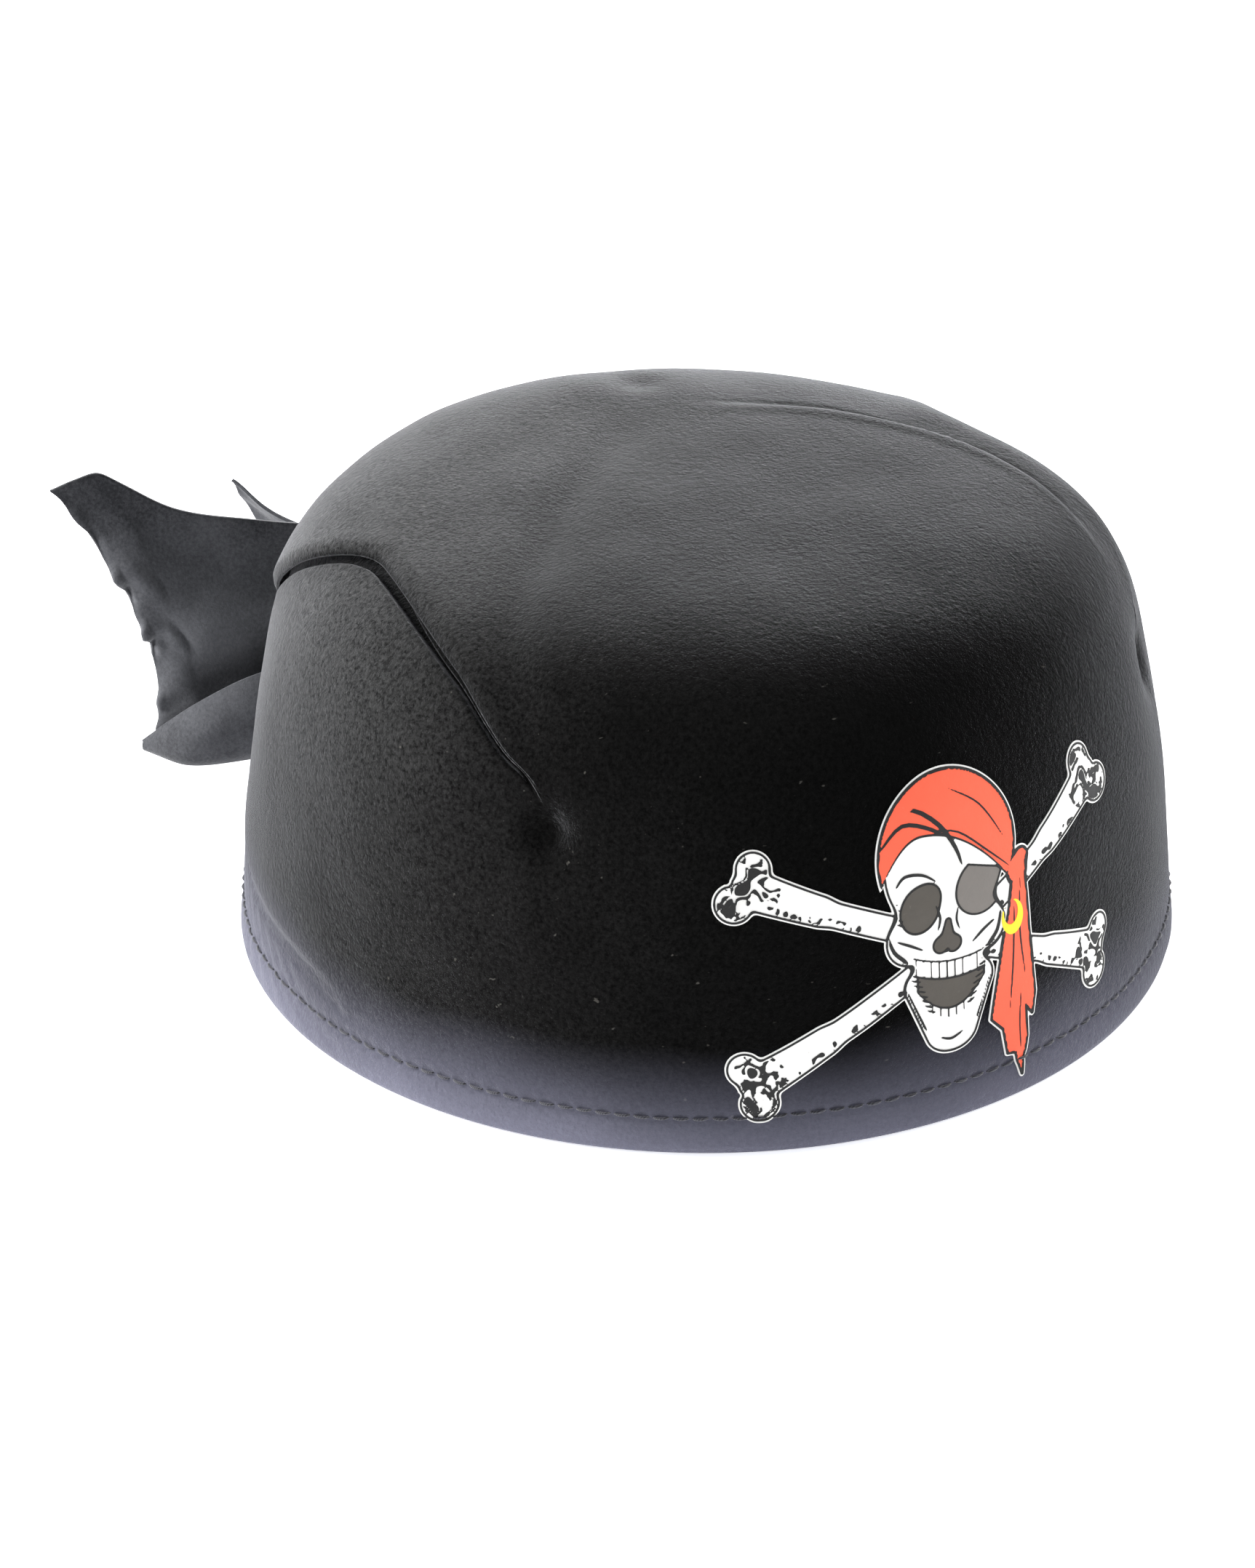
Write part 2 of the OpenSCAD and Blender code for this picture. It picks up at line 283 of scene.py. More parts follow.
def cloth_sheet(name, centre, thickness, body=None):
    """A closed thin sheet round a grid of centre points, with a square edge."""
    rows, columns = centre.shape[:2]
    normal = sheet_normal(centre)
    front = centre + normal * thickness / 2
    back = centre - normal * thickness / 2
    points = np.concatenate([front.reshape(-1, 3), back.reshape(-1, 3)])
    size = rows * columns
    faces = grid_faces(rows, columns) + grid_faces(rows, columns, size, flip=True)
    rim = ([(0, j) for j in range(columns)] + [(i, columns - 1) for i in range(1, rows)]
           + [(rows - 1, j) for j in range(columns - 2, -1, -1)]
           + [(i, 0) for i in range(rows - 2, 0, -1)])
    ids = [i * columns + j for i, j in rim]
    for a, b in zip(ids, ids[1:] + ids[:1]):
        faces.append((b, a, a + size, b + size))
    return make(name, points, faces, body)


def tube(path, radii, sides, up=(0, 0, 1)):
    """Rings of points along a path, closed at both ends. Returns points and faces."""
    path = np.asarray(path, float)
    tangent = unit(np.gradient(path, axis=0))
    turn = np.linspace(0, 2 * math.pi, sides, endpoint=False)
    points = []
    for p, t, r in zip(path, tangent, radii):
        side = unit(np.cross(up, t))
        over = np.cross(t, side)
        points += [p + r * (math.cos(a) * side + math.sin(a) * over) for a in turn]
    faces = grid_faces(len(path), sides, wrap=True)
    faces.append(tuple(range(sides))[::-1])
    faces.append(tuple((len(path) - 1) * sides + i for i in range(sides)))
    return np.array(points), faces


def joined(parts):
    """Several (points, faces) as one."""
    points, faces, first = [], [], 0
    for p, f in parts:
        points.append(p)
        faces += [tuple(i + first for i in face) for face in f]
        first += len(p)
    return np.concatenate(points), faces


# ---------------------------------------------------------------- moulding and relief

def dimple_bell(p, width):
    """1 at either dimple, where a pleat ends, falling to 0 over about the width."""
    dimple = place(np.array([DIMPLE_ANGLE]), np.array([LIP_A_DIMPLE - 1.0 * DEG]), 0.0)[0]
    mirrored = np.stack([p[..., 0], np.abs(p[..., 1]), p[..., 2]], -1)
    return bell(np.linalg.norm(mirrored - dimple, axis=-1), width)


def moulding(theta, a):
    """The moulded shape that every layer shares: dimples, and a crown that rises to the back."""
    r, z = profile(a)
    up = clamp01(z / CROWN_H)
    rake = -2.4 * MM * np.cos(theta) * (r / RIM_R) * up ** 3
    p = place(theta, a, 0 * theta)
    pit = -3.2 * MM * dimple_bell(p, 4.8 * MM) - 1.3 * MM * dimple_bell(p, 13 * MM)
    return rake + pit + 0.55 * MM * lumps(p, 70 * MM, 3) * smooth(z / (25 * MM))


# The crease low on the right side, and the fan of small ones below it
SIDE_CREASE = surface_line([(-128, 26), (-117, 20), (-106, 18.5), (-96, 17.5), (-86, 16), (-80, 13.5)])
FAN = [surface_line([(-113 + 4 * k, 15.5 - 0.5 * k), (-109 + 4.4 * k, 9 - 0.6 * k), (-106 + 5 * k, 3.5)], 24)
       for k in range(6)]

# The right crease, from its dimple over the crown to the pinch near the back, mm
RIGHT_CREASE = through([(55, -71, 66), (46, -70, 80), (34, -66, 89), (21, -57, 94), (-8, -28, 97),
                        (-28, -5, 97), (-51, 15, 97)], np.linspace(0, 1, 36)) * MM
PINCH = np.array([-0.050, 0.015, CROWN_H])

# The fullest place of the crown on the left, forward of the knot
FAR_SHOULDER = np.array([0.030, 0.074, 0.082])

KNOT_Z = (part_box("knot")[0][2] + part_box("knot")[1][2]) / 2


def fold_relief(theta, a):
    """Felt lowered between lip and crease on the left, and the lobe there on the right."""
    q = side_angle(theta)
    crease, per_rad = crease_a(theta), slope(a)[0]
    up_from_lip = (a - lip_a(theta)) * per_rad
    off = (a - crease) * per_rad + 2.0 * MM * smooth((104 * DEG - q) / (30 * DEG))
    left = smooth(np.sin(theta) / 0.25)
    shown = smooth((q - DIMPLE_ANGLE) / (22 * DEG)) * smooth((160 * DEG - q) / (45 * DEG)) * left
    drop = (1.7 - 1.5 * smooth((q - 88 * DEG) / (34 * DEG))) * MM
    fold = -drop * smooth(0.5 - off / (2.6 * MM)) * smooth(up_from_lip / (16 * MM))
    fold = fold - 0.50 * MM * bell(off + 0.9 * MM, 1.0 * MM) + 0.4 * MM * bell(off - 2.6 * MM, 2.4 * MM)
    share = smooth((q - DIMPLE_ANGLE) / (14 * DEG)) * smooth(up_from_lip / (2 * MM)) * (1 - left)
    return fold * shown + 0.9 * MM * smooth((crease - a) / (8 * DEG)) * share


def crown_relief(p):
    """The right crease, the left shoulder, the pinch near the back and the felt's own waves."""
    d, along = distance_to(p, RIGHT_CREASE)
    valley = -1.1 * MM * bell(d, 5 * MM) * np.sin(math.pi * clamp01(0.06 + 0.9 * along)) ** 0.5
    shoulder = 1.8 * MM * bell(np.linalg.norm(p - FAR_SHOULDER, axis=-1), 24 * MM)
    d = np.linalg.norm(p - PINCH, axis=-1)
    peak = 1.3 * MM * bell(d, 15 * MM) - 0.8 * MM * bell(d, 4.5 * MM)
    grain = 0.16 * MM * lumps(p, 16 * MM, 11) + 0.3 * MM * lumps(p, 38 * MM, 12)
    return valley + shoulder + peak + grain


def rim_relief(theta, z):
    """The seam's groove with its puckers, and the roll at the rim."""
    groove = -0.3 * MM * bell(z - STITCH_Z, 1.1 * MM)
    pucker = 0.10 * MM * np.cos(theta * STITCHES) * bell(z - STITCH_Z, 2.4 * MM)
    return groove + pucker + 0.25 * MM * bell(z - 3.2 * MM, 2.6 * MM)


def side_relief(p):
    """The side crease with the felt full above it, and its fan."""
    d, along = distance_to(p, SIDE_CREASE)
    above = p[..., 2] > (13 + 8 * (1 - along)) * MM
    side = -0.95 * MM * bell(d, 1.9 * MM) * np.sin(math.pi * clamp01(along)) ** 0.5
    side = side + 0.5 * MM * bell(d, 7 * MM) * above
    for line in FAN:
        side = side - 0.3 * MM * bell(distance_to(p, line)[0], 1.2 * MM)
    return side


def knot_gathers(p):
    """Pleats that run out from the knot over the back."""
    away = np.linalg.norm(p - np.array([-RIM_R, 0.0, KNOT_Z]), axis=-1)
    bearing = np.arctan2(p[..., 2] - KNOT_Z, p[..., 1])
    pleats = 0.9 * MM * np.cos(11 * bearing + 0.7 * np.sin(3 * bearing))
    return pleats * bell(away - 16 * MM, 15 * MM) * smooth(away / (12 * MM)) * (p[..., 0] < 0)


def relief(theta, a):
    """How far the felt stands off the dome, apart from the pleat at the lip."""
    p = place(theta, a, 0 * theta)
    return (moulding(theta, a) + fold_relief(theta, a) + crown_relief(p)
            + rim_relief(theta, p[..., 2]) + side_relief(p) + knot_gathers(p))


# ---------------------------------------------------------------- felt cover

RING = np.linspace(0, 2 * math.pi, 720, endpoint=False)
RIM_ROLL = [(1.2, 0.0), (0.75, 0.12), (0.35, 0.4), (0.1, 0.8), (0.0, 1.15)]   # (inset, height) mm
SIDE_ROWS, CROWN_ROWS, INNER_ROWS = 104, 100, 40
POLE_A = 89.6 * DEG

# The pleat in section, from the side panel's rolled upper edge into the slot, up behind the
# crown, back down and round the lip. Each entry: rise in slot heights, further rise in mm and
# depth in mm where the inner edge shows in the slot; the same three where it doesn't, if they
# differ; and how unshaded the felt is there, as below 1 shade is painted into its colour
PANEL_EDGE = [
    (-1, -0.75, 0.85, 1), (-1, -0.3, 1.0, 0.9), (-1, -0.05, 1.4, 0.45), (-1, 0.02, 2.0, 0.05),
    (-1, 0.15, 2.7, 0), (-1, 0.6, 3.1, 0), (0, 2.4, 3.15, 0), (0, 4.4, 3.1, 0), (0, 5.0, 2.8, 0),
]
INNER_EDGE = [
    (0, 4.8, 2.45, 0, 4.8, 2.3, 0), (0, 2.2, 2.3, 0, 2.6, 1.9, 0), (-0.45, 0, 2.2, 0, 1.6, 1.8, 0),
    (-0.56, 0, 1.95, 0, 1.3, 1.7, 0.2), (-0.59, 0, 1.6, 0, 1.2, 1.6, 0.6), (-0.42, 0, 1.5, 0, 1.3, 1.5, 0.03),
    (0, 0.6, 1.36, 0, 1.4, 1.35, 0), (0, 1.2, 1.15, 0, 1.5, 1.15, 0), (0, 0.75, 1.0, 0, 0.9, 1.0, 0),
]
LIP_ROLL = [
    (0, 0.1, 0.85, 0), (0, -0.25, 0.5, 0), (0, -0.2, 0.15, 0.05), (0, 0.2, -0.08, 0.3),
    (0, 0.9, -0.2, 0.75), (0, 2.3, -0.2, 1),
]
FOLD = [(*row[:3], *row) for row in PANEL_EDGE] + INNER_EDGE + [(*row[:3], *row) for row in LIP_ROLL]


# Each of these four lists rows as (height angles, distances out) round the ring

def side_rows(lip, per_rad, share, slot):
    """Round the rim's roll and up the side panel to the slot."""
    rows = [(angle_at(z * MM) + 0 * RING, 0 * RING - inset * MM) for inset, z in RIM_ROLL]
    low = angle_at(1.7 * MM)
    for k in range(SIDE_ROWS + 1):
        a = low + (lip - (slot + 1.3 * MM) / per_rad - low) * (k / SIDE_ROWS)
        ramp = smooth((a - 0.35 * lip) / (0.55 * lip))
        rows.append((a, relief(RING, a) - 0.82 * MM * ramp * share))
    return rows


def pleat_rows(lip, per_rad, share, slot, strip):
    """Through the pleat; also how unshaded each row is: below 1, shade is painted into the felt's colour."""
    rows, nap = [], []
    flats = np.linspace(-1.1, 2.3, len(FOLD))
    for (slots, up, deep, slots_out, up_out, deep_out, unshaded), flat in zip(FOLD, flats):
        folded = (slots * slot + up * MM) * strip + (slots_out * slot + up_out * MM) * (1 - strip)
        a = lip + (folded * share + flat * MM * (1 - share)) / per_rad
        depth = (deep * strip + deep_out * (1 - strip)) * MM
        crown_a = a + (np.maximum(a, lip) - a) * share
        rows.append((a, relief(RING, crown_a) - depth * share))
        # Painted shade: the inner edge's rows get full painted shade where that edge doesn't show, and rows
        # get none where there is no pleat.
        row_unshaded = unshaded * (strip if slots != slots_out else 1)
        nap.append(1 - (1 - row_unshaded) * smooth(share * 1.6))
    return rows, nap


def crown_rows(lip, per_rad, share):
    """From the lip to the crown's pole."""
    rows = []
    start = lip + 3.5 * MM / per_rad
    for k in range(CROWN_ROWS + 1):
        a = start + (POLE_A - start) * (k / CROWN_ROWS) ** 0.95
        swell = 0.24 * MM * share * bell((a - lip) * per_rad - 3 * MM, 4 * MM)
        rows.append((a, relief(RING, a) + swell))
    return rows


def inner_rows():
    """Down the inner side, from the pole to the rim."""
    rows = []
    low = angle_at(1.3 * MM)
    for k in range(INNER_ROWS + 1):
        a = low + (POLE_A - low) * (1 - k / INNER_ROWS) + 0 * RING
        z = profile(a)[1]
        inset = FELT_T + (COVER_IN - FELT_T) * smooth((z - 13 * MM) / (20 * MM))
        rows.append((a, moulding(RING, a) * smooth((z - 2 * MM) / (10 * MM)) - inset))
    return rows


def felt_cover():
    q = side_angle(RING)
    lip = lip_a(RING)
    per_rad = slope(lip)[0]
    share = smooth((q - DIMPLE_ANGLE - 0.9 * DEG) / (6 * DEG))
    slot = 2.35 * MM * smooth((q - DIMPLE_ANGLE + 0.5 * DEG) / (9 * DEG))
    strip = smooth((104 * DEG - q) / (32 * DEG))
    side = side_rows(lip, per_rad, share, slot)
    pleat, unshaded = pleat_rows(lip, per_rad, share, slot, strip)
    outer = side + pleat + crown_rows(lip, per_rad, share)
    rows = [place(RING, a, out) for a, out in outer + inner_rows()]
    # The nap mark is painted shade in the felt's colour: 1 on the open felt, lower in the pleat's slot and
    # under the lip, 85% lower at the dimple pits, and 0.3 on the inner side.
    nap = np.ones((len(outer), len(RING)))
    nap[len(side):len(side) + len(pleat)] = unshaded
    nap = nap * (1 - 0.85 * dimple_bell(np.array(rows[:len(outer)]), 4.5 * MM))
    obj = loop_shell("felt_cover_moulded", rows, pole_top=(len(outer) - 1, len(outer)))
    mark(obj, "nap", np.concatenate([nap.ravel(), [0.3]]))
    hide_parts("felt_cover")
    return obj


def ring_shell(name, outline, columns, wobble):
    """A closed ring from an outline of (inset, height) points in mm that follow the wall."""
    theta = np.linspace(0, 2 * math.pi, columns, endpoint=False)
    rows = []
    for inset, z in outline:
        a = angle_at(z * MM) + 0 * theta
        rows.append(place(theta, a, -inset * MM + wobble(theta, z * MM)))
    return loop_shell(name, rows[::-1])


def outline_between(inset_out, inset_in, z0, z1, steps):
    """Up the outer side and down the inner one, with rounded ends."""
    bulge = 0.25
    zs = np.linspace(z0 + bulge, z1 - bulge, steps)
    mid = (inset_out + inset_in) / 2
    quarter = (inset_out - mid) * 0.7
    low, high = z0 + 0.05, z1 - 0.05
    return ([(mid + quarter, low)] + [(inset_out, z) for z in zs] + [(mid + quarter, high)]
            + [(mid - quarter, high)] + [(inset_in, z) for z in zs[::-1]] + [(mid - quarter, low)])


def turned_hem():
    outline = ([(1.3, 0.0), (1.9, 0.1), (2.3, 0.4), (2.55, 0.8), (2.65, 1.3)]
               + [(2.65, z) for z in np.linspace(2, 11.6, 12)] + [(2.4, 12.0), (1.8, 12.0), (1.5, 11.6)]
               + [(1.5, z) for z in np.linspace(11, 1.6, 10)] + [(1.35, 0.6)])

    def wobble(theta, z):
        return 0.12 * MM * np.sin(theta * 37 + 2 * np.sin(5 * theta)) * smooth((z - 8 * MM) / (4 * MM))

    obj = ring_shell("turned_hem_edge", outline[::-1], 480, wobble)
    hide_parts("turned_hem")
    return obj


# ---------------------------------------------------------------- inner layers

def dome_layer(name, inset_out, inset_in, columns=240, extra=None):
    """A layer under the crown from the rim to the pole; extra adds its own wrinkles."""
    bands = 70
    theta = np.linspace(0, 2 * math.pi, columns, endpoint=False)
    low = angle_at(1.6 * MM)
    rows = []
    for inset, order in ((inset_out, range(bands + 1)), (inset_in, range(bands, -1, -1))):
        for k in order:
            a = low + (89.4 * DEG - low) * k / bands + 0 * theta
            z = profile(a)[1]
            out = moulding(theta, a) * smooth((z - 2 * MM) / (12 * MM)) - inset
            if extra is not None:
                out = out + extra(theta, a) * (1.0 if inset == inset_in else 0.6)
            rows.append(place(theta, a, out))
    return loop_shell(name, rows, pole_top=(bands, bands + 1))


def stiffener_shell():
    obj = dome_layer("stiffener_shell_moulded", STIFFENER_OUT, STIFFENER_IN)
    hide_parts("stiffener_shell")
    return obj


def crown_lining():
    def wrinkles(theta, a):
        p = place(theta, a, 0 * theta)
        z = p[..., 2]
        seam = np.minimum(np.abs(np.sin(theta)), np.abs(np.cos(theta))) * np.hypot(p[..., 0], p[..., 1])
        pulled = 0.22 * MM * bell(seam, 1.3 * MM)
        soft = 0.25 * MM * lumps(p, 22 * MM, 31) * smooth((z - 30 * MM) / (20 * MM))
        return pulled + 0.35 * soft - 0.1 * MM

    obj = dome_layer("crown_lining_sewn", LINING_OUT + 0.1 * MM, LINING_IN, columns=360, extra=wrinkles)
    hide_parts("crown_lining")
    return obj


def sweatband():
    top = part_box("sweatband")[1][2] / MM
    outline = outline_between(SWEATBAND_OUT / MM + 0.05, SWEATBAND_IN / MM, 1.5, top, 26)

    def wobble(theta, z):
        pinch = 0.14 * MM * np.cos(theta * STITCHES) * bell(z - STITCH_Z, 2.5 * MM)
        groove = 0.22 * MM * bell(z - STITCH_Z, 1.0 * MM)
        free = smooth((z - 18 * MM) / (14 * MM))
        sway = 0.22 * MM * np.sin(3 * theta + 1.1) + 0.16 * MM * np.sin(7 * theta)
        rolled = -0.25 * MM * bell(z - (top - 1.4) * MM, 1.2 * MM)
        return pinch + groove - np.abs(sway) * free + rolled

    obj = ring_shell("sweatband_tape", outline, 640, wobble)
    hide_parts("sweatband")
    return obj


def size_label():
    low, high = (np.array(c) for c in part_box("size_label"))
    width, height = high[1] - low[1], high[2] - low[2]
    rows, columns = 40, 20
    v = np.linspace(0, 1, rows)[:, None]
    u = np.linspace(-0.5, 0.5, columns)[None, :]
    curl = 1.6 * MM * (1 - v) ** 2 + 0.5 * MM * np.sin(3 * v) * u
    x = (low[0] + high[0]) / 2 + curl + 0.35 * MM * np.cos(6 * u)
    y = u * width + 0 * v
    z = low[2] + v * height + 0 * u
    obj = cloth_sheet("size_label_blank", np.stack([x + 0 * y, y, z], -1), 0.35 * MM, "cap")
    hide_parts("size_label")
    return obj


# ---------------------------------------------------------------- stitches

def stitch(a, b, lift):
    """One stitch from a to b, which bows out by lift at its middle and sinks at both ends."""
    t = np.linspace(0, 1, 9)[:, None]
    path = a + (b - a) * t + lift * (np.sin(math.pi * t) ** 0.6 - 0.35)
    radii = THREAD_R * (0.55 + 0.45 * np.sin(math.pi * t[:, 0]) ** 0.5)
    return tube(path, radii, 6)


def stitch_ring(name, node, point_at, outward):
    """A ring of stitches on the points that point_at gives; outward is 1 or -1."""
    parts = []
    rng = np.random.default_rng(7)
    half = STITCH_LENGTH / 2 / RIM_R
    for i in range(STITCHES):
        centre = 2 * math.pi * (i + 0.5) / STITCHES
        lean = rng.uniform(-0.12, 0.12) * MM
        ends = [point_at(np.array([centre + s * half]), STITCH_Z + s * lean)[0] for s in (-1, 1)]
        lift = outward * 0.45 * MM * np.array([math.cos(centre), math.sin(centre), 0])
        parts.append(stitch(*ends, lift))
    obj = make(name, *joined(parts))
    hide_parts(node)
    return obj


def hem_stitches():
    def at(theta, z):
        a = angle_at(z) + 0 * theta
        return place(theta, a, relief(theta, a) + 0.12 * MM)

    return stitch_ring("hem_stitches_thread", "hem_stitches", at, 1)


def sweatband_stitches():
    def at(theta, z):
        a = angle_at(z) + 0 * theta
        return place(theta, a, -SWEATBAND_IN + 0.12 * MM + 0 * theta)

    return stitch_ring("sweatband_stitches_thread", "sweatband_stitches", at, -1)


def knot_tacks():
    """Two bar tacks: each a dense zigzag of thread wraps over a short core."""
    low, high = (np.array(c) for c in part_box("knot_tacks"))
    x, z0, z1 = (low[0] + high[0]) / 2, low[2], high[2]
    parts = []
    for side in (-1, 1):
        y = side * (high[1] - 0.5 * MM)
        z = np.linspace(z0, z1, 8)
        core = np.stack([0 * z + x, 0 * z + y, z], -1)
        parts.append(tube(core, np.full(8, 0.42 * MM), 8, up=(1, 0, 0)))
        wraps = 22
        for k in range(wraps):
            zc = z0 + (z1 - z0) * (k + 0.5) / wraps
            t = np.linspace(0, 2 * math.pi, 13)
            path = np.stack([x + 0.5 * MM * np.cos(t), y + 0.62 * MM * np.sin(t),
                             zc + 0.14 * MM * np.sin(t)], -1)
            parts.append(tube(path, np.full(13, 0.16 * MM), 5))
    obj = make("knot_tacks_thread", *joined(parts))
    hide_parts("knot_tacks")
    return obj


# ---------------------------------------------------------------- tails

# Rows of each tail from the knot to its cut end: top edge, fold line or lower edge (mm),
# and the height of the flap that turns up in front of the fold line
RIGHT_TOP = [(-102, -5, 50), (-105, -11, 54), (-113, -28, 51), (-120, -44, 53), (-127, -59, 56.5),
             (-133.5, -73, 65), (-138.4, -83.4, 62.4)]
RIGHT_LOW = [(-102, -5, 40), (-105, -11, 36), (-106, -26, 18), (-107, -40, 5), (-109.5, -53, 2),
             (-116, -64, 1.5), (-124, -71, 2)]
RIGHT_FLAP = [2, 4, 13, 20, 20, 13, 2]
LEFT_TOP = [(-104, 5, 50), (-108, 10, 50), (-122, 4, 36), (-138, -9, 31), (-152, -21, 34),
            (-162.6, -28, 40.4)]
LEFT_LOW = [(-104, 5, 40), (-108, 10, 34), (-119, 14, 18), (-132, 12, 7), (-147, 3, 4), (-159, -12, 6)]
LEFT_FLAP = [0, 0, 0, 0, 0, 0]
TAIL_T = 0.8 * MM
TAIL_LOWEST = 0.7                # the sheet's middle stays this high off the ground, mm


def tail_section(top, low, flap, out, curl):
    """Control points across the tail, from the flap's free edge round the fold to the top."""
    up = np.array([0, 0, 1.0])
    body = top - low
    reach = min(1, flap / 8)
    return [
        low + out * (curl * 0.8 * reach) + up * flap,
        low + out * (curl * 1.75 * reach) + up * (flap * 0.62),
        low + out * (curl * 1.7 * reach) + up * (flap * 0.22),
        low + out * (curl * 0.75 * reach),
        low + up * (curl * 0.55 * reach) + body * 0.02,
        low + body * 0.30 - out * 2.2,
        low + body * 0.62 - out * 1.6,
        top,
    ]


def tail_centre(top_rows, low_rows, flaps, out, curl, rows, columns):
    sections = [tail_section(np.array(t, float), np.array(b, float), f, out, curl)
                for t, b, f in zip(top_rows, low_rows, flaps)]
    u = np.linspace(0, 1, rows)
    w = np.linspace(0, 1, columns)
    along = np.stack([through([s[k] for s in sections], u) for k in range(len(sections[0]))], 1)
    return np.stack([through(list(row), w) for row in along]), u[:, None], w[None, :]


# Soft ridges out from the knot: height in mm, place across, lean and width
RIGHT_RIDGES = [(2.6, 0.84, 0.12, 0.035), (-1.8, 0.76, 0.10, 0.03), (2.2, 0.66, 0.05, 0.03),
                (-1.6, 0.60, 0.02, 0.02)]
# Short puckers in from the cut edge: height in mm, place across, and where they begin
RIGHT_PUCKERS = [(0.5, 0.955, 0.86), (-0.5, 0.93, 0.88), (0.6, 0.90, 0.82), (-0.7, 0.845, 0.80),
                 (0.7, 0.82, 0.84), (-0.7, 0.755, 0.78), (0.6, 0.735, 0.82), (-0.4, 0.64, 0.84)]


def cut_end(centre, u, rag, scoop, start):
    """The sheet with its cut end frayed by rag and hollowed by scoop, in mm along the tail."""
    step = unit(np.gradient(centre, axis=0))
    out = rag * smooth((u - 0.93) / 0.07) + scoop * smooth((u - start) / (1 - start))
    return centre + step * out[..., None]


def right_tail():
    out = np.array([0.91, -0.42, 0])
    centre, u, w = tail_centre(RIGHT_TOP, RIGHT_LOW, RIGHT_FLAP, out, 4.6, 150, 130)
    body = clamp01((w - 0.5) / 0.5)
    gather = (1.3 * np.cos(2 * math.pi * (6 * w + 0.15 * np.sin(5 * w)))
              * (1 - smooth(u / 0.45)) * smooth(u / 0.12))
    reach = smooth(u / 0.25) * (1 - smooth((u - 0.55) / 0.45))
    ridges = sum(size * bell(w - at - lean * u, width + 0.03 * u) * reach
                 for size, at, lean, width in RIGHT_RIDGES)
    wave = 0.8 * np.sin(2 * math.pi * (1.3 * w + 0.2)) * smooth((u - 0.35) / 0.6) * smooth(body / 0.2)
    soft = 0.32 * lumps(centre * MM, 13 * MM, 51) + 0.12 * lumps(centre * MM, 5 * MM, 53)
    puckers = sum(size * bell(w - at - 0.02 * np.sin(9 * u), 0.013) * smooth((u - start) / 0.1)
                  for size, at, start in RIGHT_PUCKERS) * (1 - 0.6 * smooth((u - 0.95) / 0.05))
    centre = centre + sheet_normal(centre) * (gather + ridges + wave + soft + puckers)[..., None]
    rag = 0.25 * np.sin(41 * w + 3 * np.sin(13 * w)) + 0.15 * np.sin(97 * w + 2 * np.sin(31 * w))
    centre = cut_end(centre, u, rag, -9.0 * np.sin(math.pi * body ** 1.05), 0.45)
    centre[..., 2] += 0.7 * bell(u - 0.845, 0.035) * smooth((w - 0.8) / 0.2)
    centre[..., 2] = np.maximum(centre[..., 2], TAIL_LOWEST)
    obj = cloth_sheet("right_tail_cloth", centre * MM, TAIL_T)
    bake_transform(obj)
    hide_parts("right_tail")
    return obj


def left_tail():
    out = np.array([-0.2, -0.98, 0])
    centre, u, w = tail_centre(LEFT_TOP, LEFT_LOW, LEFT_FLAP, out, 0.0, 140, 100)
    gather = 1.2 * np.cos(2 * math.pi * (5 * w + 0.2)) * (1 - smooth(u / 0.5)) * smooth(u / 0.12)
    ridge = 1.6 * bell(w - 0.55, 0.10) * smooth(u / 0.3) * (1 - smooth((u - 0.6) / 0.4))
    wave = 1.6 * np.sin(2 * math.pi * (1.1 * w + 0.1)) * smooth((u - 0.4) / 0.6)
    ripple = 0.25 * np.cos(2 * math.pi * 15 * w + 2 * np.sin(7 * w)) * smooth((u - 0.86) / 0.14)
    soft = 0.35 * lumps(centre * MM, 9 * MM, 52)
    offset = gather + ridge + wave + ripple + soft
    centre = centre + sheet_normal(centre, 1e-9) * offset[..., None]
    rag = 0.5 * np.sin(37 * w + 3 * np.sin(11 * w)) + 0.3 * np.sin(89 * w)
    centre = cut_end(centre, u, rag, -4.0 * np.sin(math.pi * clamp01(w / 0.72)), 0.6)
    centre[..., 2] = np.maximum(centre[..., 2], TAIL_LOWEST)
    obj = cloth_sheet("left_tail_cloth", centre * MM, TAIL_T)
    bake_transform(obj)
    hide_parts("left_tail")
    return obj


def knot():
    """A band of cloth wrapped twice round the gathered roots of both tails."""
    low, high = (np.array(c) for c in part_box("knot"))
    middle, half = (low + high) / 2, (high - low) / 2
    columns, rows = 120, 56
    phi = np.linspace(0, 2 * math.pi, columns, endpoint=False)
    points = []
    for k in range(rows):
        t = -1 + 2 * k / (rows - 1)
        end = (1 - abs(t) ** 5) ** 0.5
        lean = 0.35 * np.sin(phi + 0.6)
        folds = (0.55 * np.cos(2 * math.pi * (2.6 * t + lean)) + 0.25 * np.cos(2 * math.pi * (5.1 * t - lean))
                 + 0.15 * np.sin(9 * phi + 4 * t))
        waist = 1 - 0.10 * np.cos(math.pi * t * 0.9)
        grow = (0.28 + 0.72 * end) * waist
        x = middle[0] + (half[0] * grow + folds * MM * end) * np.cos(phi) * 0.98
        z = middle[2] + (half[2] * grow * 0.92 + folds * MM * end) * np.sin(phi)
        y = middle[1] + half[1] * 1.02 * t + 0.5 * MM * np.sin(2 * phi + 3 * t) * end
        points.append(np.stack([x, y, z], -1))
    points = np.concatenate(points)
    faces = grid_faces(rows, columns, wrap=True)
    faces.append(tuple(range(columns))[::-1])
    faces.append(tuple((rows - 1) * columns + i for i in range(columns)))
    obj = make("knot_wrapped", points, faces)
    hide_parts("knot")
    return obj


# ---------------------------------------------------------------- emblem

EMBLEM_TURN = -4 * DEG
CROSS_Z = 39.5
CELL = 0.3                       # mm between the points of the drawing's grid
DRAW_X, DRAW_Y = 51.0, 39.0      # half the drawing's width and height, mm


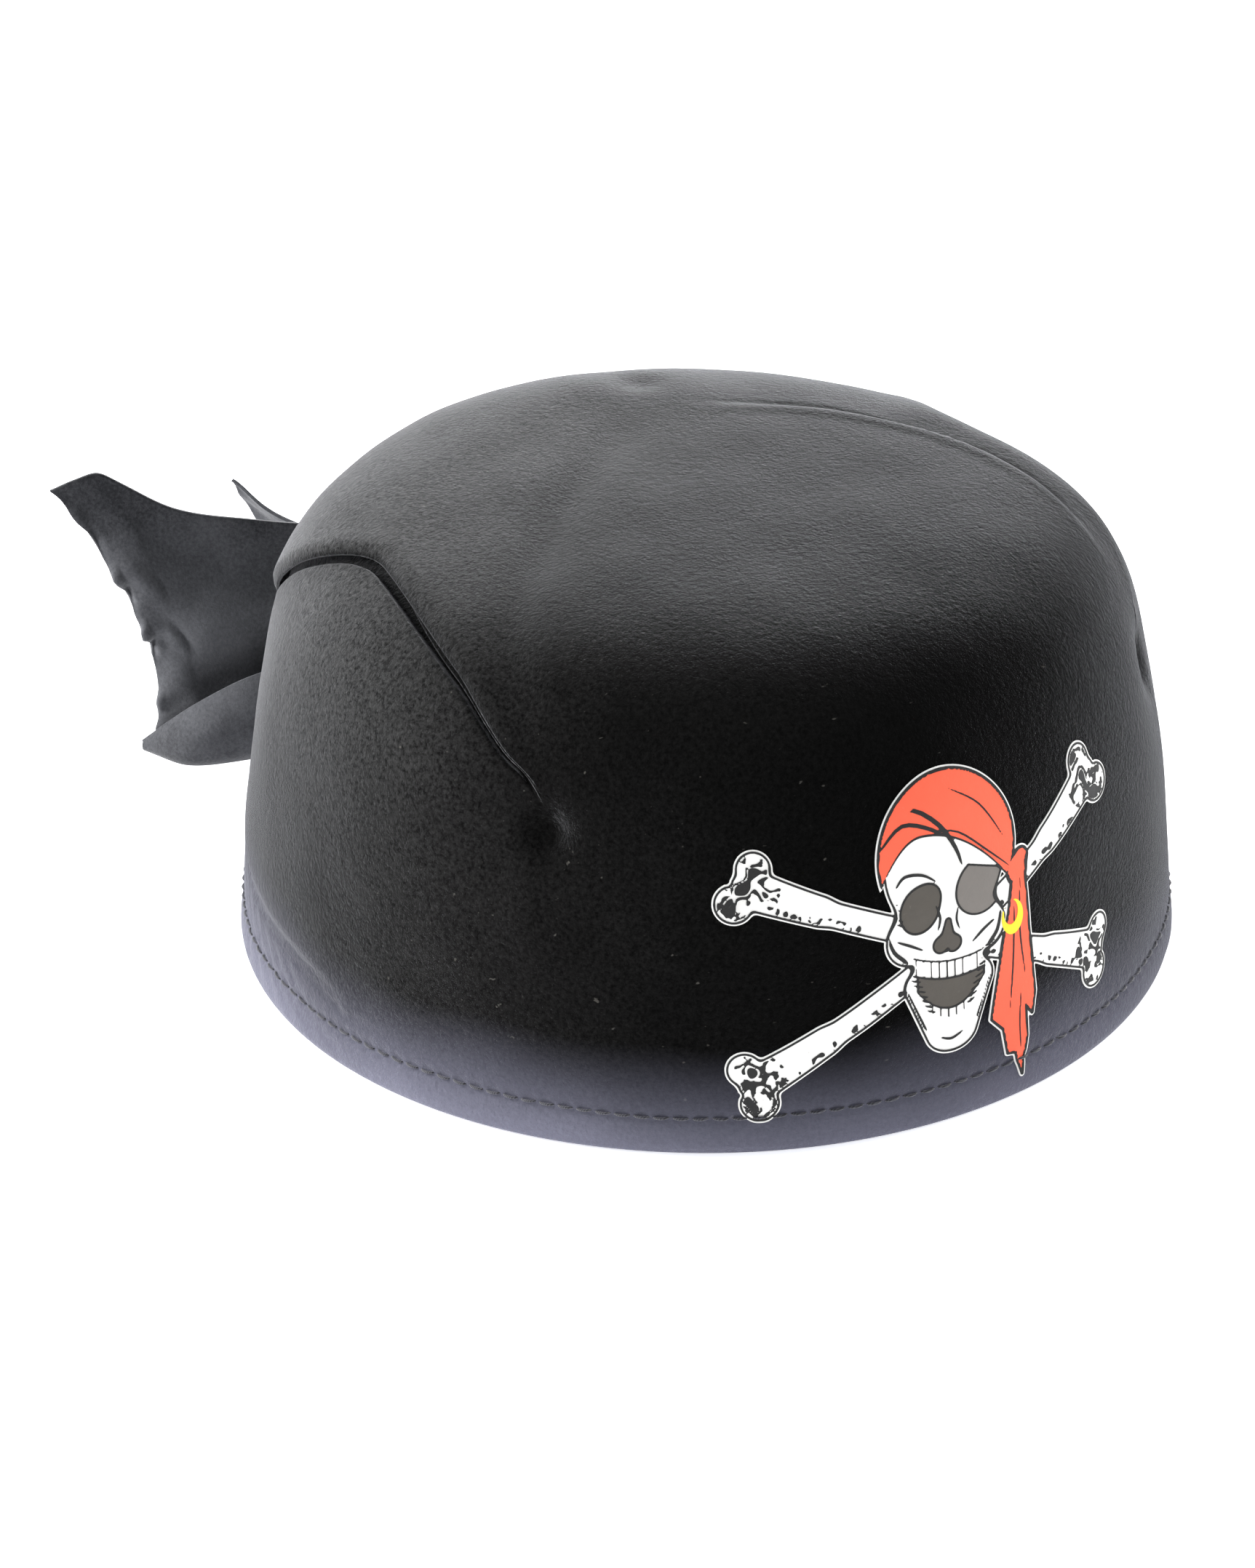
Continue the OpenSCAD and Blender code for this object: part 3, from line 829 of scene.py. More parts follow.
def drawing_grid():
    x = np.arange(-DRAW_X, DRAW_X + CELL / 2, CELL)
    y = np.arange(-DRAW_Y, DRAW_Y + CELL / 2, CELL)
    return np.meshgrid(x, y, indexing="ij")


GX, GY = drawing_grid()


# Each shape is a field over the grid: negative inside, in millimetres from its edge

def disc(x, y, r, rx=1.0, ry=1.0, lean=0.0):
    dx = (GX - x) * math.cos(lean) + (GY - y) * math.sin(lean)
    dy = (GY - y) * math.cos(lean) - (GX - x) * math.sin(lean)
    return (np.hypot(dx / rx, dy / ry) - r) * min(rx, ry)


def bar(p, q, r0, r1=None):
    """A rounded bar from p to q whose half width goes from r0 to r1."""
    p, q = np.array(p, float), np.array(q, float)
    d = q - p
    t = clamp01(((GX - p[0]) * d[0] + (GY - p[1]) * d[1]) / (d @ d))
    r1 = r0 if r1 is None else r1
    return np.hypot(GX - p[0] - t * d[0], GY - p[1] - t * d[1]) - (r0 + (r1 - r0) * t)


def area_of(points):
    """The inside of a closed outline of straight stretches."""
    points = np.array(points, float)
    best = np.full(GX.shape, 1e9)
    inside = np.zeros(GX.shape, bool)
    for (x0, y0), (x1, y1) in zip(points, np.roll(points, -1, 0)):
        dx, dy = x1 - x0, y1 - y0
        t = clamp01(((GX - x0) * dx + (GY - y0) * dy) / (dx * dx + dy * dy))
        best = np.minimum(best, np.hypot(GX - x0 - t * dx, GY - y0 - t * dy))
        crosses = (y0 > GY) != (y1 > GY)
        inside ^= crosses & (GX < x0 + (GY - y0) * dx / (dy if dy else 1e-9))
    return np.where(inside, -best, best)


def merge(a, b, k=0.0):
    if not k:
        return np.minimum(a, b)
    h = clamp01(0.5 + 0.5 * (b - a) / k)
    return b + (a - b) * h - k * h * (1 - h)


def both(a, b):
    return np.maximum(a, b)


def without(a, b):
    return np.maximum(a, -b)


def any_of(*fields):
    field = fields[0]
    for other in fields[1:]:
        field = np.minimum(field, other)
    return field


def stroke(points, width):
    """A brush line through the points, thin at both ends."""
    steps = 12
    line = through(points, np.linspace(0, 1, steps + 1))
    half = width / 2 * (np.sin(np.linspace(0, math.pi, steps + 1)) ** 0.6 * 0.8 + 0.2)
    return any_of(*[bar(line[i], line[i + 1], half[i], half[i + 1]) for i in range(steps)])


def grain_field(seed, low, high):
    """Random waves between two wavelengths' numbers, mostly between -1.5 and 1.5."""
    rng = np.random.default_rng(seed)
    total = np.zeros(GX.shape)
    waves = 26
    for _ in range(waves):
        turn, pitch = rng.uniform(0, 2 * math.pi), rng.uniform(low, high)
        total += np.sin((GX * math.cos(turn) + GY * math.sin(turn)) * pitch + rng.uniform(0, 6))
    return total / math.sqrt(waves)


def bone(p, q):
    """A bone from knuckle p to knuckle q, and how far each point lies to its lower side."""
    p, q = np.array(p, float), np.array(q, float)
    along = (q - p) / np.linalg.norm(q - p)
    across = np.array([-along[1], along[0]])
    middle = (p + q) / 2
    field = bar(p, q, 2.3)
    for tip, sign in ((p, -1), (q, 1)):
        field = merge(field, bar(middle + (tip - middle) * 0.66, tip - along * sign * 2, 2.0, 3.4), 3)
        for side, size in ((-1, 3.5), (1, 3.1)):
            lobe = tip + across * side * 3.9 + along * sign * (0.5 - 0.6 * side)
            field = merge(field, disc(lobe[0], lobe[1], size), 1.0)
        field = without(field, disc(*(tip + along * sign * 4.1), 1.5))
    below = (GX - p[0]) * across[0] + (GY - p[1]) * across[1]
    return field, -below


BONES = [((-38, 16.5), (43, -17)), ((-38, -24.5), (43, 20.5))]
FACE_X = 2.8                     # the face's middle line


def skull_field():
    f = FACE_X
    field = merge(disc(f + 0.3, 15.5, 13.2, 1, 1.05), bar((f - 8.3, 1.2), (f + 8.3, 0.2), 4.9), 4)
    upper = bar((f - 4.6, -5.5), (f + 4.8, -6.3), 3.0)
    jaw = merge(bar((f - 6.0, -9), (f - 1.2, -19.2), 3.7, 4.2),
                bar((f + 6.2, -10), (f + 1.8, -19.2), 3.7, 4.2), 3)
    chin = bar((f, -8), (f, -17), 4.2)
    return any_of(merge(merge(field, upper, 2.0), jaw, 1.2), chin)


def scarf_field():
    """The scarf over the head, its knot, and its hanging ends."""
    f = FACE_X
    x = GX - f + 4.8
    edge = 21.8 - np.where(x < 0, 0.10, 0.034) * x ** 2 - GY
    cap = both(disc(f + 1.3, 17.4, 15.5, 1, 1.02), edge)
    bow = merge(disc(f + 16.9, 9.4, 2.3, 1, 1.25), disc(f + 18.4, 12.0, 1.3), 1.5)
    ends = area_of([
        (f + 15.8, 8.5), (f + 18.8, 8.5), (f + 19.6, -4), (f + 20.8, -18), (f + 20.0, -22.5),
        (f + 18.3, -20.2), (f + 18.5, -27), (f + 16.8, -34.6), (f + 15.3, -29.4), (f + 13.3, -29),
        (f + 12.4, -23.5), (f + 9.6, -20.5), (f + 11.2, -13), (f + 12.9, -5), (f + 14.4, 0.5)])
    return any_of(cap, bow, ends)


def face_fields():
    """Eye socket, eye patch, nose, open mouth, and how the teeth's line sags."""
    f = FACE_X
    socket = merge(disc(f - 6.0, 7.2, 4.4, 0.95, 1.12, -0.35), disc(f - 3.8, 9.6, 2.0), 2)
    patch = both(merge(disc(f + 7.6, 8.2, 5.2, 1.05, 1.0), disc(f + 8.0, 10.6, 3.4), 3),
                 GY + 0.33 * (GX - f - 7.6) - 13.0)
    nose = without(merge(disc(f - 1.6, -1.2, 1.75), disc(f + 1.2, -1.5, 1.75), 0.8),
                   bar((f - 0.2, -4), (f - 0.2, -1.9), 0.4))
    nose = merge(nose, bar((f - 0.2, -0.6), (f + 0.1, 3.4), 1.7, 0.6), 1.0)
    sag = 0.022 * (GX - f) ** 2 - 0.13 * (GX - f)
    lower = -15.0 + 0.085 * (GX - f - 0.5) ** 2
    mouth = both(both(GY + 8.7 - sag, lower - GY), np.abs(GX - f - 0.5) - 7.6)
    return socket, patch, nose, mouth, sag


def teeth_lines(sag):
    """The gaps between the teeth, and the line where both rows meet."""
    f = FACE_X
    x = GX - f
    pitch = 1.75
    gaps = np.abs((x + 0.4 + pitch / 2) % pitch - pitch / 2) - 0.13
    upper_band = both(np.abs(GY - (-6.9 + sag)) - 1.9, np.abs(x - 0.3) - 8.0)
    lower_line = -15.0 + 0.085 * (x - 0.5) ** 2
    lower_band = both(np.abs(GY - lower_line + 1.0) - 1.0, np.abs(x - 0.4) - 5.4)
    line = both(np.abs(GY - (-5.0 + sag)) - 0.16, np.abs(x - 0.3) - 8.2)
    return any_of(both(gaps, upper_band), both(gaps, lower_band), line)


def face_strokes():
    f = FACE_X
    marks = [
        ([(f - 13.2, 3.4), (f - 11.9, -0.4), (f - 9.4, -3.2), (f - 8.6, -6.6)], 0.8),
        ([(f + 12.6, 2.6), (f + 11.6, -1.6), (f + 9.2, -4.4), (f + 8.4, -8)], 0.8),
        ([(f - 11.2, 1.6), (f - 8.4, 0.2), (f - 5.6, -1.4)], 0.55),
        ([(f + 11.0, 0.8), (f + 8.2, -0.6), (f + 5.6, -2.4)], 0.55),
        ([(f - 9.6, -9), (f - 7.8, -13.5), (f - 5.4, -18.6)], 0.7),
        ([(f + 9.6, -10.6), (f + 8.2, -14.5), (f + 6.0, -18.8)], 0.7),
        ([(f - 11.0, 12.6), (f - 9.0, 14.6), (f - 5.2, 14.2), (f - 2.2, 12.2)], 0.6),
        ([(f - 2.6, 7.4), (f - 1.7, 4.6), (f - 2.2, 2.0)], 0.5),
        ([(f + 2.4, 5.6), (f + 2.0, 3.4), (f + 2.6, 1.2)], 0.45),
        ([(f - 2.4, -20.8), (f, -21.6), (f + 2.6, -20.7)], 0.5),
        ([(f + 3.8, 14.2), (f + 2.6, 18), (f - 0.6, 23.2), (f - 6, 27.2), (f - 11.6, 26.6)], 0.95),
        ([(f + 12.2, 11), (f + 14.4, 11.2), (f + 16.6, 10)], 0.8),
    ]
    hatch = [([(f + s * (10.4 - 0.55 * k) + 0.3, -3.6 - 1.2 * k),
               (f + s * (8.0 - 0.5 * k) + 0.3, -4.4 - 1.2 * k)], 0.36)
             for k in range(10) for s in (-1, 1)]
    temple = [([(f - 13.0 + 0.5 * k, 9.6 - 1.1 * k), (f - 10.6 + 0.3 * k, 9.2 - 1.2 * k)], 0.34)
              for k in range(5)]
    return any_of(*[stroke(points, width) for points, width in marks + hatch + temple])


def scarf_strokes():
    f = FACE_X
    marks = [
        ([(f - 13.8, 20.6), (f - 8.6, 24.6), (f - 2.2, 22.6), (f + 2.8, 18.6)], 0.8),
        ([(f - 2.4, 22.4), (f + 3.6, 20.8), (f + 10, 15.4), (f + 15.4, 10.4)], 0.4),
        ([(f + 2.6, 29.6), (f + 9.4, 24.8), (f + 14.6, 16.4)], 0.35),
        ([(f + 17.6, 7.4), (f + 17.2, -3), (f + 18.4, -14)], 0.4),
        ([(f + 16, 3.6), (f + 15.4, -8), (f + 14.2, -20)], 0.4),
        ([(f + 17.2, -16), (f + 16.6, -24), (f + 16.9, -30)], 0.35),
    ]
    return any_of(*[stroke(points, width) for points, width in marks])


def emblem_fields():
    """The drawing's regions: a front-on skull in a headscarf over two crossed bones."""
    (rising, below_a), (falling, below_b) = bone(*BONES[1]), bone(*BONES[0])
    bones = any_of(rising, falling)
    skull = skull_field()
    scarf = scarf_field()
    head = any_of(skull, scarf)
    bones_seen = without(bones, head - 0.5)
    socket, patch, nose, mouth, sag = face_fields()
    ring = without(disc(FACE_X + 15.4, -0.2, 3.7, 0.72, 1), disc(FACE_X + 15.0, 0.9, 2.6, 0.68, 1))
    ragged = grain_field(5, 1.2, 4.2)
    coarse = grain_field(6, 0.7, 2.0)
    shade = any_of(*[both(both(field + 0.3, 0.3 - below), -field - 1.5)
                     for field, below in ((rising, below_a), (falling, below_b))])
    shade = both(both(shade, bones_seen), (0.45 - ragged) * 0.5)
    knuckles = any_of(*[disc(*tip, 6.8) for pair in BONES for tip in pair])
    cracks = any_of(both(np.abs(coarse) - 0.26, -0.5 - coarse - ragged), 0.62 - coarse)
    marks = both(both(bones_seen + 0.3, knuckles), cracks)
    figure = any_of(bones_seen, head)
    keyline = both(figure - 0.40, -figure)
    overlaps = any_of(both(np.abs(scarf) - 0.22, head), both(np.abs(head - 0.25) - 0.3, bones))
    faces = both(any_of(face_strokes(), teeth_lines(sag)), skull + 0.3)
    outlines = any_of(*[np.abs(shape) - 0.2 for shape in (socket, nose, patch, mouth)])
    ink = any_of(faces, both(outlines, skull), both(scarf_strokes(), scarf), shade, marks, keyline, overlaps)
    hollow = any_of(socket, nose, mouth)
    return {"film": figure - 0.72, "red": without(scarf, ring), "patch": both(patch, head),
            "hollow": both(hollow, head), "ink": without(ink, ring), "yellow": ring}


def region(field):
    """The points, faces and border edges of the region where field is negative."""
    inside = field < 0
    index, flat, faces, border = {}, [], [], []

    def point(key, x, y):
        if key not in index:
            index[key] = len(flat)
            flat.append((x, y))
        return index[key]

    def corner(i, j):
        return point((i, j, 0), GX[i, 0], GY[0, j])

    def crossing(i, j, di, dj):
        a, b = field[i, j], field[i + di, j + dj]
        t = min(max(a / (a - b), 0.04), 0.96)
        return point((i, j, 1 if di else 2), GX[i, 0] + CELL * t * di, GY[0, j] + CELL * t * dj)

    some = inside[:-1, :-1] | inside[1:, :-1] | inside[1:, 1:] | inside[:-1, 1:]
    for i, j in zip(*np.nonzero(some)):
        corners = [(i, j), (i + 1, j), (i + 1, j + 1), (i, j + 1)]
        edges = [(i, j, 1, 0), (i + 1, j, 0, 1), (i, j + 1, 1, 0), (i, j, 0, 1)]
        state = [inside[c] for c in corners]
        loop, cuts = [], []
        for k in range(4):
            if state[k]:
                loop.append(corner(*corners[k]))
            if state[k] != state[(k + 1) % 4]:
                loop.append(crossing(*edges[k]))
                cuts.append((loop[-1], state[k]))
        if len(cuts) == 4:          # two corners across from each other: fill the whole band
            border += [(cuts[k][0], cuts[(k + 1) % 4][0]) for k in range(4) if cuts[k][1]]
        elif len(cuts) == 2:
            (one, leaves), (other, _) = cuts
            border.append((one, other) if leaves else (other, one))
        faces.append(tuple(loop))
    return np.array(flat), faces, border


def plate(name, field, low, high, node):
    """A thin closed plate over the region where field is negative, wrapped on the front wall."""
    flat, faces, border = region(field)
    height = (CROSS_Z + flat[:, 1]) * MM
    a = angle_at(height)
    theta = EMBLEM_TURN + flat[:, 0] * MM / (RIM_R * (1 - TAPER * height / CROWN_H))
    off = relief(theta, a)
    points = np.concatenate([place(theta, a, off + high * MM), place(theta, a, off + low * MM)])
    n = len(flat)
    solid = faces + [tuple(i + n for i in f[::-1]) for f in faces]
    solid += [(end, start, start + n, end + n) for start, end in border]
    obj = make(name, points, solid, smooth_shade=False)
    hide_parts(node)
    return obj


# Each plate: its field, its name, its underside and top in mm off the felt, the node that it
# replaces, its slot, and its ink: name, colour, worn colour and how worn
PLATES = [
    ("film", "emblem_film_white", 0.06, 0.24, "emblem_film", "white_print",
     ("white_film", (0.92, 0.91, 0.88), (0.62, 0.60, 0.56), 0.25)),
    ("red", "emblem_scarf_red", 0.24, 0.31, "emblem_red_print", "red_print",
     ("red_print", (0.93, 0.125, 0.06), (0.82, 0.16, 0.09), 0.25)),
    ("patch", "emblem_patch_grey", 0.24, 0.30, "emblem_grey_print", "grey_print",
     ("grey_print", (0.17, 0.155, 0.14), (0.24, 0.22, 0.20), 0.25)),
    ("hollow", "emblem_hollows_grey", 0.24, 0.30, "emblem_grey_print", "grey_print",
     ("dark_grey_print", (0.075, 0.066, 0.055), (0.13, 0.12, 0.10), 0.25)),
    ("ink", "emblem_lines_black", 0.25, 0.36, "emblem_grey_print", "grey_print",
     ("black_ink", (0.008, 0.008, 0.008), (0.05, 0.048, 0.045), 0.1)),
    ("yellow", "emblem_ring_yellow", 0.24, 0.38, "emblem_yellow_print", "yellow_print",
     ("yellow_print", (0.95, 0.72, 0.03), (0.80, 0.58, 0.05), 0.25)),
]


def emblem():
    fields = emblem_fields()
    for key, name, low, high, node, slot_name, ink in PLATES:
        dress(plate(name, fields[key], low, high, node), print_material(*ink))


# ---------------------------------------------------------------- materials

class Nodes:
    """A short way to build one node material."""

    def __init__(self, name):
        self.material = bpy.data.materials.new(name)
        self.material.use_nodes = True
        self.tree = self.material.node_tree
        self.shader = self.tree.nodes["Principled BSDF"]
        self.where = self.add("ShaderNodeTexCoord").outputs["Object"]

    def add(self, kind, **inputs):
        node = self.tree.nodes.new(kind)
        for key, value in inputs.items():
            self.put(node.inputs[key.replace("_", " ")], value)
        return node

    def put(self, socket, value):
        if isinstance(value, bpy.types.NodeSocket):
            self.tree.links.new(value, socket)
        elif isinstance(value, tuple) and len(value) == 3:
            socket.default_value = (*value, 1) if socket.type == "RGBA" else value
        else:
            socket.default_value = value

    def noise(self, scale, detail=3.0, roughness=0.55, stretch=None):
        where = self.where
        if stretch:
            where = self.add("ShaderNodeMapping", Vector=where, Scale=stretch).outputs[0]
        return self.add("ShaderNodeTexNoise", Vector=where, Scale=scale, Detail=detail,
                        Roughness=roughness).outputs["Fac"]

    def ramp(self, value, low, high, a=0.0, b=1.0):
        node = self.add("ShaderNodeMapRange", Value=value)
        for key, number in zip((1, 2, 3, 4), (low, high, a, b)):
            node.inputs[key].default_value = number
        return node.outputs[0]

    def math(self, operation, a, b=0.0):
        node = self.tree.nodes.new("ShaderNodeMath")
        node.operation = operation
        self.put(node.inputs[0], a)
        self.put(node.inputs[1], b)
        return node.outputs[0]

    def times(self, a, b):
        return self.math("MULTIPLY", a, b)

    def plus(self, a, b):
        return self.math("ADD", a, b)

    def mix(self, share, a, b):
        node = self.tree.nodes.new("ShaderNodeMix")
        node.data_type = "RGBA"
        self.put(node.inputs[0], share)
        self.put(node.inputs[6], a)
        self.put(node.inputs[7], b)
        return node.outputs[2]

    def bump(self, height, distance, strength, normal=None):
        node = self.add("ShaderNodeBump", Height=height, Strength=strength, Distance=distance)
        if normal is not None:
            self.put(node.inputs["Normal"], normal)
        return node.outputs[0]

    def finish(self, **inputs):
        for key, value in inputs.items():
            self.put(self.shader.inputs[key.replace("_", " ")], value)
        return self.material


def felt_material(name, dark, light, sheen, painted_rim_light=0.0, painted_side_light=False, unshaded="nap"):
    """Brushed felt: short matted fibres, a mottled nap, pale lint. Where asked, light is painted in:
    a pale bluish band low round the rim, a lighter back and right with a painted grey highlight
    high up and a darker front; and shade is painted where the named mark is low, in the pleat's
    slot, under the lip and in the dimple pits."""
    n = Nodes(name)
    fibre = n.noise(1150, 5, 0.72)
    matted = n.noise(520, 5, 0.7)
    mottle = n.noise(45, 4, 0.6)
    drift = n.noise(11, 2, 0.5)
    speckle = n.ramp(fibre, 0.36, 0.66, 0.1, 1.9)
    patches = n.plus(n.ramp(mottle, 0.3, 0.7, 0.72, 1.22), n.ramp(drift, 0.35, 0.65, -0.15, 0.15))
    tone_and_painted_light = n.times(speckle, patches)
    place_x, place_y, height = n.add("ShaderNodeSeparateXYZ", Vector=n.where).outputs
    # Painted light: the felt is painted up to 1.8 times lighter toward its back and the wearer's right, and
    # down to 0.12 times toward its front and the wearer's left.
    if painted_side_light:
        toward = n.plus(n.times(place_x, 0.8), n.times(place_y, 0.6))
        tone_and_painted_light = n.times(tone_and_painted_light, n.ramp(toward, -0.075, 0.062, 1.8, 0.12))
    # Painted shade: where the mark is low, in the pleat's slot, under the lip and in the dimple pits, the
    # felt's colour is darkened.
    if unshaded:
        painted_shade_mark = n.add("ShaderNodeAttribute")
        painted_shade_mark.attribute_name = unshaded
        tone_and_painted_light = n.times(tone_and_painted_light, painted_shade_mark.outputs["Fac"])
    # The felt's random tone, times the painted light and shade above, sets how far its colour goes from dark
    # to light.
    colour = n.mix(n.times(tone_and_painted_light, 0.5), dark, light)
    lint = n.ramp(n.noise(700, 2, 0.5, stretch=(1, 0.35, 1)), 0.735, 0.78)
    colour = n.mix(n.times(lint, 0.25), colour, (0.20, 0.19, 0.17))
    # Painted highlight: a pale grey painted over the back and the wearer's right of the crown, strongest high
    # up, grained by the fibre speckle and left out where shade is painted.
    if painted_side_light:
        highlight_grain = n.times(painted_shade_mark.outputs["Fac"], speckle)
        painted_top_highlight = n.times(n.ramp(toward, 0.0, -0.095, 0, 0.38), n.ramp(height, 0.035, 0.09, 0.15, 1))
        colour = n.mix(n.times(painted_top_highlight, highlight_grain), colour, (0.12, 0.12, 0.12))
    # Painted light: a pale bluish light painted low round the rim, gone by 27 mm up, stronger toward the
    # front and the wearer's right.
    if painted_rim_light:
        low = n.ramp(n.plus(height, n.ramp(drift, 0.3, 0.7, -0.006, 0.006)), 0.027, 0.0, 0, 1)
        rim_light_grain = n.times(n.ramp(fibre, 0.3, 0.7, painted_rim_light * 0.85, painted_rim_light * 1.1),
                       n.ramp(place_x, -0.08, 0.03, 0.6, 1.1))
        # This share is painted rim light, not wear.
        worn = n.times(n.math("POWER", low, 1.5),
                       n.times(rim_light_grain, n.ramp(place_y, -0.02, 0.09, 1, 0.35)))
        colour = n.mix(worn, colour, (0.17, 0.17, 0.22))
    coarse = n.bump(matted, 0.00042, 0.5)
    fine = n.bump(fibre, 0.00036, 0.9, coarse)
    return n.finish(Base_Color=colour, Roughness=n.ramp(matted, 0.3, 0.7, 0.9, 1.0), Normal=fine,
                    Sheen_Weight=sheen, Sheen_Roughness=0.24, Sheen_Tint=(0.95, 0.96, 1.0),
                    Specular_IOR_Level=0.04)


def tail_material():
    """Thin felt of the tails: a finer nap, and painted light that makes it paler toward the lower edge, most
    about 24 mm up, darker again below that.
    """
    n = Nodes("slate_cloth")
    height = n.add("ShaderNodeSeparateXYZ", Vector=n.where).outputs[2]
    fibre = n.noise(1300, 5, 0.7)
    cloud = n.noise(60, 4, 0.6)
    # Painted light: paler lower down, most about 24 mm up and darker again below that; the cloud adds random
    # tone.
    painted_floor_light = n.math("MINIMUM", n.ramp(height, 0.066, 0.024, 0.0, 0.62), n.ramp(height, 0.0, 0.024, 0.22, 0.62))
    painted_floor_light = n.plus(painted_floor_light, n.ramp(cloud, 0.3, 0.7, -0.12, 0.2))
    share = n.plus(painted_floor_light, n.ramp(fibre, 0.35, 0.65, -0.12, 0.16))
    share = n.math("MINIMUM", n.math("MAXIMUM", share, 0), 1)
    colour = n.mix(share, (0.020, 0.0205, 0.023), (0.125, 0.127, 0.137))
    return n.finish(Base_Color=colour, Roughness=0.94, Sheen_Weight=0.22, Sheen_Roughness=0.4,
                    Specular_IOR_Level=0.05,
                    Normal=n.bump(fibre, 0.00020, 0.7, n.bump(n.noise(420, 4), 0.0002, 0.5)))


def woven_material(name, dark, light, thread_m, twill=False, sheen=0.2):
    """Woven cloth: two sets of crossing threads, uneven in colour and thickness."""
    n = Nodes(name)
    x, y, z = n.add("ShaderNodeSeparateXYZ", Vector=n.where).outputs
    band_r = 0.09
    round_the_cap = n.times(n.math("ARCTAN2", y, x), band_r)
    wave = 2 * math.pi / thread_m
    uneven = n.times(n.noise(160, 3), 1.4)
    warp = n.math("SINE", n.plus(n.times(round_the_cap, wave), uneven))
    rise = n.plus(z, n.times(round_the_cap, 1.0 if twill else 0.0))
    weft = n.math("SINE", n.plus(n.times(rise, wave), uneven))
    weave = n.math("MAXIMUM", warp, weft) if twill else n.times(warp, weft)
    share = n.plus(n.ramp(weave, -1, 1, 0, 0.6), n.times(n.noise(55, 4), 0.45))
    return n.finish(Base_Color=n.mix(share, dark, light),
                    Roughness=n.ramp(n.noise(300, 3), 0.3, 0.7, 0.75, 0.95),
                    Normal=n.bump(weave, 0.00012, 0.8), Sheen_Weight=sheen, Sheen_Roughness=0.5,
                    Specular_IOR_Level=0.25)


def thread_material(name, dark, light):
    """Sewing thread with its twist."""
    n = Nodes(name)
    twist = n.add("ShaderNodeTexWave", Vector=n.where, Scale=900.0, Distortion=2.0, Detail=2.0).outputs["Fac"]
    return n.finish(Base_Color=n.mix(twist, dark, light), Roughness=0.6, Normal=n.bump(twist, 0.00008, 0.6),
                    Sheen_Weight=0.3, Specular_IOR_Level=0.35)


def print_material(name, colour, worn, wear):
    """Screen print on felt: the nap shows through, with pinholes and rubbed patches."""
    n = Nodes(name)
    pinholes = n.ramp(n.noise(1300, 3, 0.6), 0.66, 0.74)
    rubbed = n.ramp(n.noise(120, 5, 0.65), 0.5, 0.85)
    tone = n.noise(300, 4, 0.6)
    share = n.plus(n.times(pinholes, 0.5), n.times(rubbed, wear))
    share = n.math("MINIMUM", share, 0.8)
    shaded = n.mix(n.ramp(tone, 0.35, 0.7, 0, 0.22), colour, worn)
    nap = n.bump(n.noise(420, 5, 0.65), 0.00018, 0.5)
    return n.finish(Base_Color=n.mix(share, shaded, worn), Roughness=n.ramp(tone, 0.3, 0.7, 0.52, 0.72),
                    Normal=n.bump(n.noise(1400, 3), 0.00006, 0.5, nap), Specular_IOR_Level=0.3)


def dress(obj, material):
    obj.data.materials.clear()
    obj.data.materials.append(material)


# ---------------------------------------------------------------- stage, light and camera

def stage():
    size, steps = 4.0, 60
    just_below = -0.3 * MM
    rows = np.linspace(-size, size, steps)
    points = [(x, y, just_below) for x in rows for y in rows]
    floor = make("studio_floor", points, grid_faces(steps, steps, flip=True), body=None)
    n = Nodes("studio_floor_paper")
    n.finish(Base_Color=n.mix(n.noise(6, 2), (0.86, 0.86, 0.87), (0.9, 0.9, 0.905)), Roughness=0.9,
             Specular_IOR_Level=0.1, Emission_Color=(0.95, 0.96, 1.0), Emission_Strength=0.72)
    dress(floor, n.material)


def area_light(name, place_at, aim, size, power, colour=(1, 1, 1)):
    data = bpy.data.lights.new(name, "AREA")
    data.shape = "DISK"
    data.size = size
    data.energy = power
    data.color = colour
    light = bpy.data.objects.new(name, data)
    bpy.context.scene.collection.objects.link(light)
    light.location = place_at
    direction = np.array(aim, float) - np.array(place_at, float)
    light.rotation_mode = "QUATERNION"
    light.rotation_quaternion = Vector(direction).to_track_quat("-Z", "Y")


def lights():
    world = bpy.data.worlds.new("soft_box")
    bpy.context.scene.world = world
    world.use_nodes = True
    background = world.node_tree.nodes["Background"]
    background.inputs["Color"].default_value = (0.96, 0.98, 1.0, 1)
    background.inputs["Strength"].default_value = 0.55
    area_light("left_box", (-0.80, -1.05, 0.85), (-0.02, 0, 0.06), 0.8, 44)
    area_light("back_box", (-1.15, 0.62, 0.58), (0, 0, 0.08), 0.8, 40)
    area_light("far_box", (0.10, 1.30, 0.55), (0, 0, 0.06), 0.9, 20)


# The photographed view: camera direction as seen from the cap, distance and framing
CAMERA_TURN = -32 * DEG
CAMERA_RISE = 26.8 * DEG
CAMERA_AWAY = 1.0
AIM = (0, 0, 0.06)
LONG_SIDE = 2156
PIXELS_PER_METRE = 6670
FRAME_SHIFT = (108, -183)


